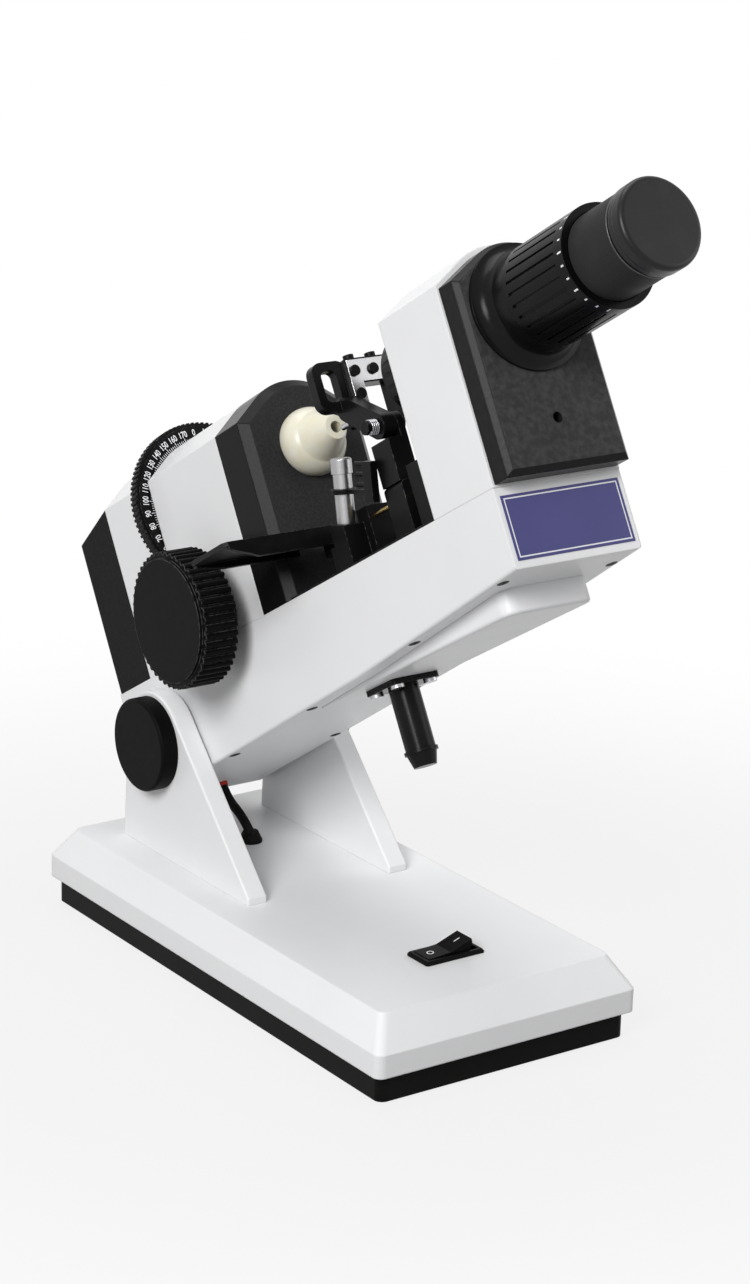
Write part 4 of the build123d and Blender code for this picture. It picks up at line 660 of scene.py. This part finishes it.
class LENSMETER_OT_black_metal(bpy.types.Operator):
    """Black anodised lens table, holder, dial, eyepiece neck and barrel"""

    bl_idname = "lensmeter.black_metal"
    bl_label = "Black metal"

    def execute(self, context):
        colours, _, _ = settings(context)
        dress(
            black_anodised("black anodised", colours.metal),
            "table_plate", "table_column", "holder_carriage", "arm_pin", "fork_screws", "marker_arm",
        )
        dress(glossy_moulding("black lacquer", colours.metal), "guide_tube", "holder_arm", "eyepiece_neck")
        dress(black_anodised("black enamel", colours.metal, 0.45), "mechanism_bed")
        dress(fine_moulding("barrel black", lighter(colours.metal, 1.5, 0.016), 0.5), "eyepiece_barrel")
        self.barrel_lip(colours)
        dress(black_anodised("dial black", colours.metal, 0.4), "axis_dial", "dial_scale")
        dress(
            black_anodised("inner black", colours.metal, 0.55),
            "telescope_tube", "condenser_tube", "lamp_house", "target_cell", "target_carriage",
        )
        return {"FINISHED"}

    def barrel_lip(self, colours):
        """A bead and a dark ring round the barrel, just behind the dust cap: the bead's pale grey is a
        painted highlight, and the dark ring is a painted shadow of the groove.
        """
        seat, cap_radius = cap_seat()
        face = cap_radius - 0.6
        inner = face - 0.3
        crest = face + 0.25
        rear, front = seat - 4.4, seat - 3.4
        bead = [(rear, inner), (rear + 0.3, crest), (front - 0.3, crest), (front, inner)]
        # The bead's pale grey is a painted highlight.
        wear_and_highlight = black_anodised("lip painted highlight", LIP_PAINTED_HIGHLIGHT, 0.3)
        piece("barrel_bead", turned("barrel_bead", bead), wear_and_highlight, "ocular")
        # A thin dark ring in the groove: a painted shadow.
        groove = band(seat - 3.5, seat - 2.0, inner, face + 0.03)
        shadow = soft_rubber("groove painted shadow", darker(colours.metal, 0.2), 0.8)
        piece("barrel_groove_shadow", turned("barrel_groove_shadow", groove), shadow, "ocular")


class LENSMETER_OT_bright(bpy.types.Operator):
    """Nickel, steel and brass of the pins, rods, screws, marker and springs"""

    bl_idname = "lensmeter.bright"
    bl_label = "Bright metal"

    def execute(self, context):
        colours, _, _ = settings(context)
        dress(bright_metal("bright nickel", colours.nickel, 0.16), "fork_plate")
        # The marker post's nickel is darkened: a painted shade standing in for darker reflections.
        dress(bright_metal("nickel darkened as painted shade", darker(colours.nickel, 0.6), 0.3, stretch=(1, 1, 8)), "marker_post")
        dress(bright_metal("ground steel", colours.steel, 0.26), "tilt_shaft", "pinion_shaft", "steel_rods")
        dress(bright_metal("pin steel", colours.steel, 0.22), "holder_pins", "arm_spring")
        dress(bright_metal("screw steel", colours.steel, 0.3, edge=0.15), "base_screws", "flange_screws")
        dress(bright_metal("polished brass", colours.brass, 0.2), "brass_rods")
        dress(fine_moulding("washer fibre", WASHER_FIBRE, 0.4), "friction_washers")
        return {"FINISHED"}


class LENSMETER_OT_optics(bpy.types.Operator):
    """Ivory nose, lenses, target and lamp"""

    bl_idname = "lensmeter.optics"
    bl_label = "Nose and optics"

    def execute(self, context):
        colours, _, _ = settings(context)
        dress(ivory_nylon("ivory nylon", colours.nose), "nose")
        dress(
            clear_glass("coated glass", LENS_GLASS),
            "condenser_lens", "standard_lens", "objective_lens", "eyepiece_lenses",
        )
        dress(clear_glass("green target glass", TARGET_GLASS), "target_plate")
        dress(clear_glass("lamp glass", LAMP_GLASS), "lamp")
        return {"FINISHED"}


class LENSMETER_OT_switch(bpy.types.Operator):
    """Mains switch with its on and off marks, and the inlet at the back"""

    bl_idname = "lensmeter.switch"
    bl_label = "Switch and inlet"

    def execute(self, context):
        colours, _, _ = settings(context)
        dress(fine_moulding("switch plastic", colours.knob, 0.3, edge=0.3), "switch_body", "switch_rocker")
        dress(fine_moulding("inlet plastic", colours.knob, 0.36), "power_inlet")
        ink = marking_ink("switch marks", colours.marks)
        low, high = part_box("switch_rocker")
        middle = (low + high) / 2
        from_middle = (high.x - low.x) * 0.3
        above = high.z + 5 * MM
        right = Vector((0, 1, 0))
        sunk = 0.01 * MM

        def marks(work):
            for side, mark in ((1, self.bar), (-1, self.ring)):
                start = Vector((middle.x + side * from_middle, middle.y, above))
                place, outward = landing("switch_rocker", start, DOWN)
                mark(work, plane_matrix(place - outward * sunk, right, outward.cross(right)))

        piece("switch_marks", mesh_from("switch_marks", marks), ink, "rocker")
        return {"FINISHED"}

    def bar(self, work, matrix):
        """The mark for on."""
        slab(work, matrix, width=0.55, height=3.2, thickness=MARK_HEIGHT)

    def ring(self, work, matrix):
        """The mark for off."""
        outer, inner = 1.65, 1.1
        corners = [(outer, 0.0), (outer, MARK_HEIGHT), (inner, MARK_HEIGHT), (inner, 0.0)]
        rings = [circle(work, matrix, radius, height, ROUND_STEPS) for radius, height in corners]
        for first, second in zip(rings, rings[1:] + rings[:1]):
            bridge(work, first, second)


class LENSMETER_OT_rubber(bpy.types.Operator):
    """Rubber feet, the lamp lead's grommet and the eyepiece's dust cap with its skirt"""

    bl_idname = "lensmeter.rubber"
    bl_label = "Rubber"

    def execute(self, context):
        colours, _, _ = settings(context)
        dress(soft_rubber("foot rubber", colours.rubber, 0.6), "rubber_feet", "lead_grommet")
        cap = soft_rubber("cap rubber", darker(colours.rubber, 0.5), 0.36, gloss=0.26, bloom=0.12)
        dress(cap, "dust_cap")
        seat, radius = cap_seat()
        skirt = band(seat - 2.1, seat + 0.4, radius - 0.45, radius - 0.02)
        piece("cap_skirt", turned("cap_skirt", skirt), cap, "cap")
        return {"FINISHED"}


class LENSMETER_OT_dial_marks(bpy.types.Operator):
    """White numbers and division lines on the axis dial"""

    bl_idname = "lensmeter.dial_marks"
    bl_label = "Dial marks"

    def execute(self, context):
        colours, sizes, _ = settings(context)
        ink = marking_ink("dial marks", colours.marks)
        _, high = head_span("dial_scale")
        face = high[1]
        rim = high[2] - OPTICAL_AXIS
        numbers_at = rim - 3.1
        divisions_from = rim - 7.2
        long, short = 2.4, 1.5
        narrow = Matrix.Diagonal((0.74, 1, 1, 1))
        texts = []
        for degrees in range(0, 360, sizes.numeral_step):
            angle = math.radians(degrees)
            texts.append((str(degrees % 180), dial_plane(face, numbers_at, angle) @ narrow))
        letters = mesh_from("dial_numbers", lettering(texts, sizes.numeral))
        piece("dial_numbers", letters, ink, "axis_wheel")

        def divisions(work):
            for degrees in range(0, 360, 2):
                reach = long if degrees % 10 == 0 else short
                matrix = dial_plane(face, divisions_from + reach / 2, math.radians(degrees))
                slab(work, matrix, sizes.division, reach, thickness=0.03)

        piece("dial_divisions", mesh_from("dial_divisions", divisions), ink, "axis_wheel")
        return {"FINISHED"}


class LENSMETER_OT_diopter_marks(bpy.types.Operator):
    """White marks on the lip of the diopter ring"""

    bl_idname = "lensmeter.diopter_marks"
    bl_label = "Diopter marks"

    def execute(self, context):
        colours, sizes, _ = settings(context)
        ink = marking_ink("diopter marks", colours.marks)
        _, high = head_span("diopter_ring")
        lip = high[2] - OPTICAL_AXIS
        along = high[1] - 1.9
        middle, spacing = -80, 14  # degrees round the axis
        width = 0.3 * sizes.diopter_mark

        def ticks(work):
            for step in range(-6, 7):
                matrix = round_plane(along, lip - 0.01, math.radians(spacing * step + middle))
                reach = sizes.diopter_mark * (1 if step % 3 == 0 else 0.65)
                slab(work, matrix, width, reach, MARK_HEIGHT)

        piece("diopter_marks", mesh_from("diopter_marks", ticks), ink, "diopter")
        return {"FINISHED"}


class LENSMETER_OT_label(bpy.types.Operator):
    """Bare blue plate with a white border line on the front of the beam"""

    bl_idname = "lensmeter.label"
    bl_label = "Front label"

    def execute(self, context):
        colours, sizes, _ = settings(context)
        _, high = head_span("beam")
        front = high[1]
        foot, top = 0.5, 27.0  # n of its lower and upper edge
        width = 2 * (high[0] - sizes.label_margin)
        height = top - foot
        thick = 0.3
        matrix = plane_matrix(head_point(0, front, (foot + top) / 2), ACROSS, UPRIGHT)
        blue = printed_film("label blue", colours.label)
        white = marking_ink("label line", colours.marks)
        plate = mesh_from("label_plate", lambda work: slab(work, matrix, width, height, thick, bevel=0.1))
        piece("label_plate", plate, blue, "head")

        def border(work):
            line = sizes.label_line
            inset = line * 2.6
            raised = 0.02
            for side in (-1, 1):
                across = Matrix.Translation((0, side * (height / 2 - inset), thick))
                slab(work, matrix @ across, width - 2 * inset + line, line, raised)
                upright = Matrix.Translation((side * (width / 2 - inset), 0, thick))
                slab(work, matrix @ upright, line, height - 2 * inset - line, raised)

        piece("label_border", mesh_from("label_border", border), white, "head")
        return {"FINISHED"}


class LENSMETER_OT_beam_screws(bpy.types.Operator):
    """Cross-head screws in the wells under the beam; each cross is a thin dark sheet on the head, painted
    shade in place of the recess
    """

    bl_idname = "lensmeter.beam_screws"
    bl_label = "Beam screws"

    def execute(self, context):
        colours, sizes, _ = settings(context)
        black = black_anodised("well screw black", colours.metal, 0.4)
        # The crosses' darker black is painted shade of the screws' recesses.
        dark = black_anodised("painted recess shade", darker(colours.metal, 0.5), 0.6)
        places = [self.underside(x, u) for u in SCREWS_ALONG for x in (-SCREWS_ASIDE, SCREWS_ASIDE)]
        width, reach = 0.3 * sizes.screw, 1.4 * sizes.screw
        lifted = Matrix.Translation((0, 0, 0.13))

        def heads(work):
            for matrix in places:
                disc(work, matrix, sizes.screw, thickness=0.15, steps=24, bevel=0.1)

        def recess_shades(work):
            for matrix in places:
                for degrees in (20, 110):
                    spin = lifted @ Matrix.Rotation(math.radians(degrees), 4, "Z")
                    slab(work, matrix @ spin, reach, width, thickness=0.05)

        piece("beam_screw_heads", smooth(mesh_from("beam_screw_heads", heads)), black, "head")
        piece("beam_screw_recess_shades", mesh_from("beam_screw_recess_shades", recess_shades), dark, "head")
        return {"FINISHED"}

    def underside(self, x, u):
        """Plane of the beam's underside over a screw well, found on both sides of the well."""
        starts = [head_point(x, u + side, -60) for side in (-4, 4)]
        rear, front = [landing("beam", start, UPRIGHT)[0] for start in starts]
        return plane_matrix((rear + front) / 2, front - rear, -ACROSS)


class LENSMETER_OT_lamp_lead(bpy.types.Operator):
    """Lamp lead from the base up into the beam, with its red sleeve"""

    bl_idname = "lensmeter.lamp_lead"
    bl_label = "Lamp lead"

    def execute(self, context):
        colours, _, _ = settings(context)
        sheath = soft_rubber("lead sheath", colours.rubber, 0.45)
        red = printed_film("red sleeve", colours.sleeve, 0.35)
        low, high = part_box("lead_grommet")
        exit_x = (low.x + high.x) / 2
        foot = Vector((exit_x, LEAD_FOOT, high.z - 1.5 * MM))
        lean = Vector((0, 1, 1)).normalized()
        inside = head_point(0, LEAD_ALONG, LEAD_INSIDE)
        below = head_point(0, LEAD_ALONG, LEAD_BELOW)
        route = [inside, below, foot + lean * 8 * MM, foot]
        lead = bpy.data.objects.new("lamp_cable", self.tube("lamp_cable", route, radius=2.2))
        lead.data.materials.append(sheath)
        context.scene.collection.objects.link(lead)
        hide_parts("lamp_lead")
        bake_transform(lead)
        hanging = [head_point(0, LEAD_ALONG, n) for n in SLEEVE_HEIGHTS]
        piece("lamp_sleeve", self.tube("lamp_sleeve", hanging, radius=2.75), red, "head")
        return {"FINISHED"}

    def tube(self, name, route, radius):
        """A round tube along one smooth spline, its radius in millimetres."""
        curve = bpy.data.curves.new(name, "CURVE")
        curve.dimensions = "3D"
        curve.bevel_depth = radius * MM
        curve.bevel_resolution = 8
        curve.resolution_u = 12
        curve.use_fill_caps = True
        spline = curve.splines.new("NURBS")
        spline.points.add(len(route) - 1)
        for point, place in zip(spline.points, route):
            point.co = (*place, 1)
        spline.order_u = 3
        spline.use_endpoint_u = True
        holder = bpy.data.objects.new(name, curve)
        mesh = bpy.data.meshes.new_from_object(holder)
        mesh.name = name
        bpy.data.objects.remove(holder)
        bpy.data.curves.remove(curve)
        mesh.materials.clear()
        return smooth(mesh, 60)


class LENSMETER_OT_stage(bpy.types.Operator):
    """Pale floor, soft lights, world and camera"""

    bl_idname = "lensmeter.stage"
    bl_label = "Studio"

    def execute(self, context):
        _, _, studio = settings(context)
        self.floor(context, studio)
        self.world(context, studio)
        self.lights(context, studio)
        self.camera(context, studio)
        context.scene.view_settings.view_transform = "Standard"
        return {"FINISHED"}

    def floor(self, context, studio):
        """A wide round floor just under the feet."""
        def ground(work):
            bmesh.ops.create_circle(work, cap_ends=True, segments=96, radius=9)

        mesh = mesh_from("floor", ground)
        mesh.materials.append(self.paper(studio))
        floor = bpy.data.objects.new("studio_floor", mesh)
        floor.location.z = -0.2 * MM
        context.scene.collection.objects.link(floor)

    def paper(self, studio):
        """Matt paper that keeps the shadow, and fades into the backdrop away from the object."""
        material = bpy.data.materials.new("studio floor")
        material.use_nodes = True
        tree = material.node_tree
        shader = tree.nodes["Principled BSDF"]
        shader.inputs["Base Color"].default_value = (*studio.floor, 1)
        shader.inputs["Roughness"].default_value = 0.9
        shader.inputs["Specular IOR Level"].default_value = 0.1
        fibre = tree.nodes.new("ShaderNodeTexNoise")
        fibre.inputs["Scale"].default_value = 90
        bump = tree.nodes.new("ShaderNodeBump")
        bump.inputs["Distance"].default_value = 0.1 * MM
        tree.links.new(fibre.outputs["Fac"], bump.inputs["Height"])
        tree.links.new(bump.outputs["Normal"], shader.inputs["Normal"])
        glow = tree.nodes.new("ShaderNodeEmission")
        glow.inputs["Color"].default_value = (*studio.backdrop, 1)
        place = tree.nodes.new("ShaderNodeTexCoord")
        away = tree.nodes.new("ShaderNodeVectorMath")
        away.operation = "LENGTH"
        tree.links.new(place.outputs["Object"], away.inputs[0])
        fade = tree.nodes.new("ShaderNodeMapRange")
        fade.interpolation_type = "SMOOTHSTEP"
        fade.inputs["From Min"].default_value = 0.15
        fade.inputs["From Max"].default_value = 0.55
        fade.inputs["To Min"].default_value = 0.84
        tree.links.new(away.outputs["Value"], fade.inputs["Value"])
        share = self.combine(tree, "MULTIPLY", self.seen(tree), fade.outputs["Result"])
        self.mix(tree, share, shader.outputs[0], glow.outputs[0], tree.nodes["Material Output"])
        return material

    def combine(self, tree, operation, first, second):
        """A maths node's result for two values."""
        made = tree.nodes.new("ShaderNodeMath")
        made.operation = operation
        tree.links.new(first, made.inputs[0])
        tree.links.new(second, made.inputs[1])
        return made.outputs[0]

    def mix(self, tree, share, base, over, target):
        """Shows share of over on base, at a material's or the world's output."""
        mixed = tree.nodes.new("ShaderNodeMixShader")
        for source, socket in zip((share, base, over), mixed.inputs):
            tree.links.new(source, socket)
        tree.links.new(mixed.outputs[0], target.inputs["Surface"])

    def seen(self, tree):
        """1 for what the camera sees, straight, in reflections or through glass."""
        path = tree.nodes.new("ShaderNodeLightPath").outputs
        mirrored = self.combine(tree, "MAXIMUM", path["Is Camera Ray"], path["Is Glossy Ray"])
        return self.combine(tree, "MAXIMUM", mirrored, path["Is Transmission Ray"])

    def world(self, context, studio):
        """Even light from all round, and the backdrop."""
        world = bpy.data.worlds.new("studio")
        context.scene.world = world
        world.use_nodes = True
        tree = world.node_tree
        ambient = tree.nodes["Background"]
        ambient.inputs["Color"].default_value = (1, 1, 1, 1)
        ambient.inputs["Strength"].default_value = studio.ambient
        shown = tree.nodes.new("ShaderNodeBackground")
        shown.inputs["Color"].default_value = (*studio.backdrop, 1)
        shown.inputs["Strength"].default_value = 1
        self.mix(tree, self.seen(tree), ambient.outputs[0], shown.outputs[0], tree.nodes["World Output"])

    def lights(self, context, studio):
        """Three square soft lights, aimed at the middle of the object."""
        aim = Vector((0, 0, 0.18))
        for name, power, size, place in (
            ("key light", studio.key, 0.9, (-1.7, -0.95, 1.45)),
            ("fill light", studio.fill, 1.2, (1.7, -1.2, 0.9)),
            ("top light", studio.top, 1.3, (0.2, 0.5, 2.2)),
        ):
            lamp = bpy.data.lights.new(name, "AREA")
            lamp.energy = power
            lamp.size = size
            holder = bpy.data.objects.new(name, lamp)
            holder.location = place
            holder.rotation_euler = (aim - Vector(place)).to_track_quat("-Z", "Y").to_euler()
            context.scene.collection.objects.link(holder)

    def camera(self, context, studio):
        """The camera, turned about a point over the base and then moved a little sideways and down."""
        azimuth, elevation = math.radians(studio.azimuth), math.radians(studio.elevation)
        back = Vector((
            math.sin(azimuth) * math.cos(elevation),
            -math.cos(azimuth) * math.cos(elevation),
            math.sin(elevation),
        ))
        turn = back.to_track_quat("Z", "Y").to_matrix() @ Matrix.Rotation(math.radians(studio.roll), 3, "Z")
        lens = bpy.data.cameras.new("camera")
        lens.lens = studio.lens
        lens.sensor_width = 36
        lens.shift_y = 0.0125
        lens.clip_end = 50
        centre = Vector((0, 0, 0.15))
        aside = turn @ Vector((17, -3.8, 0)) * MM
        holder = bpy.data.objects.new("camera", lens)
        place = Matrix.Translation(centre + back * studio.distance + aside)
        holder.matrix_world = place @ turn.to_4x4()
        context.scene.collection.objects.link(holder)
        context.scene.camera = holder


class LENSMETER_PT_panel(bpy.types.Panel):
    """Finishes, pieces and studio of the lensmeter"""

    bl_idname = "LENSMETER_PT_panel"
    bl_label = "Lensmeter"
    bl_space_type = "VIEW_3D"
    bl_region_type = "UI"
    bl_category = "Lensmeter"

    def draw(self, context):
        layout = self.layout
        for group in settings(context):
            box = layout.box()
            for name in group.__annotations__:
                box.prop(group, name)
        for operator in OPERATORS:
            layout.operator(operator.bl_idname)


OPERATORS = [
    LENSMETER_OT_shell,
    LENSMETER_OT_mouldings,
    LENSMETER_OT_knobs,
    LENSMETER_OT_black_metal,
    LENSMETER_OT_bright,
    LENSMETER_OT_optics,
    LENSMETER_OT_switch,
    LENSMETER_OT_rubber,
    LENSMETER_OT_dial_marks,
    LENSMETER_OT_diopter_marks,
    LENSMETER_OT_label,
    LENSMETER_OT_beam_screws,
    LENSMETER_OT_lamp_lead,
    LENSMETER_OT_stage,
]
GROUPS = [LensmeterColours, LensmeterSizes, LensmeterStudio]


def register():
    """Makes the operators, the panel and the scene's settings known."""
    for group in GROUPS + OPERATORS + [LENSMETER_PT_panel]:
        bpy.utils.register_class(group)
    bpy.types.Scene.lensmeter_colours = bpy.props.PointerProperty(type=LensmeterColours)
    bpy.types.Scene.lensmeter_sizes = bpy.props.PointerProperty(type=LensmeterSizes)
    bpy.types.Scene.lensmeter_studio = bpy.props.PointerProperty(type=LensmeterStudio)


def unregister():
    """Takes them away again."""
    del bpy.types.Scene.lensmeter_colours
    del bpy.types.Scene.lensmeter_sizes
    del bpy.types.Scene.lensmeter_studio
    for group in reversed(GROUPS + OPERATORS + [LENSMETER_PT_panel]):
        bpy.utils.unregister_class(group)


def main():
    """Builds the whole scene."""
    register()
    for operator in OPERATORS:
        family, name = operator.bl_idname.split(".")
        getattr(getattr(bpy.ops, family), name)()


if __name__ == "__main__":
    main()
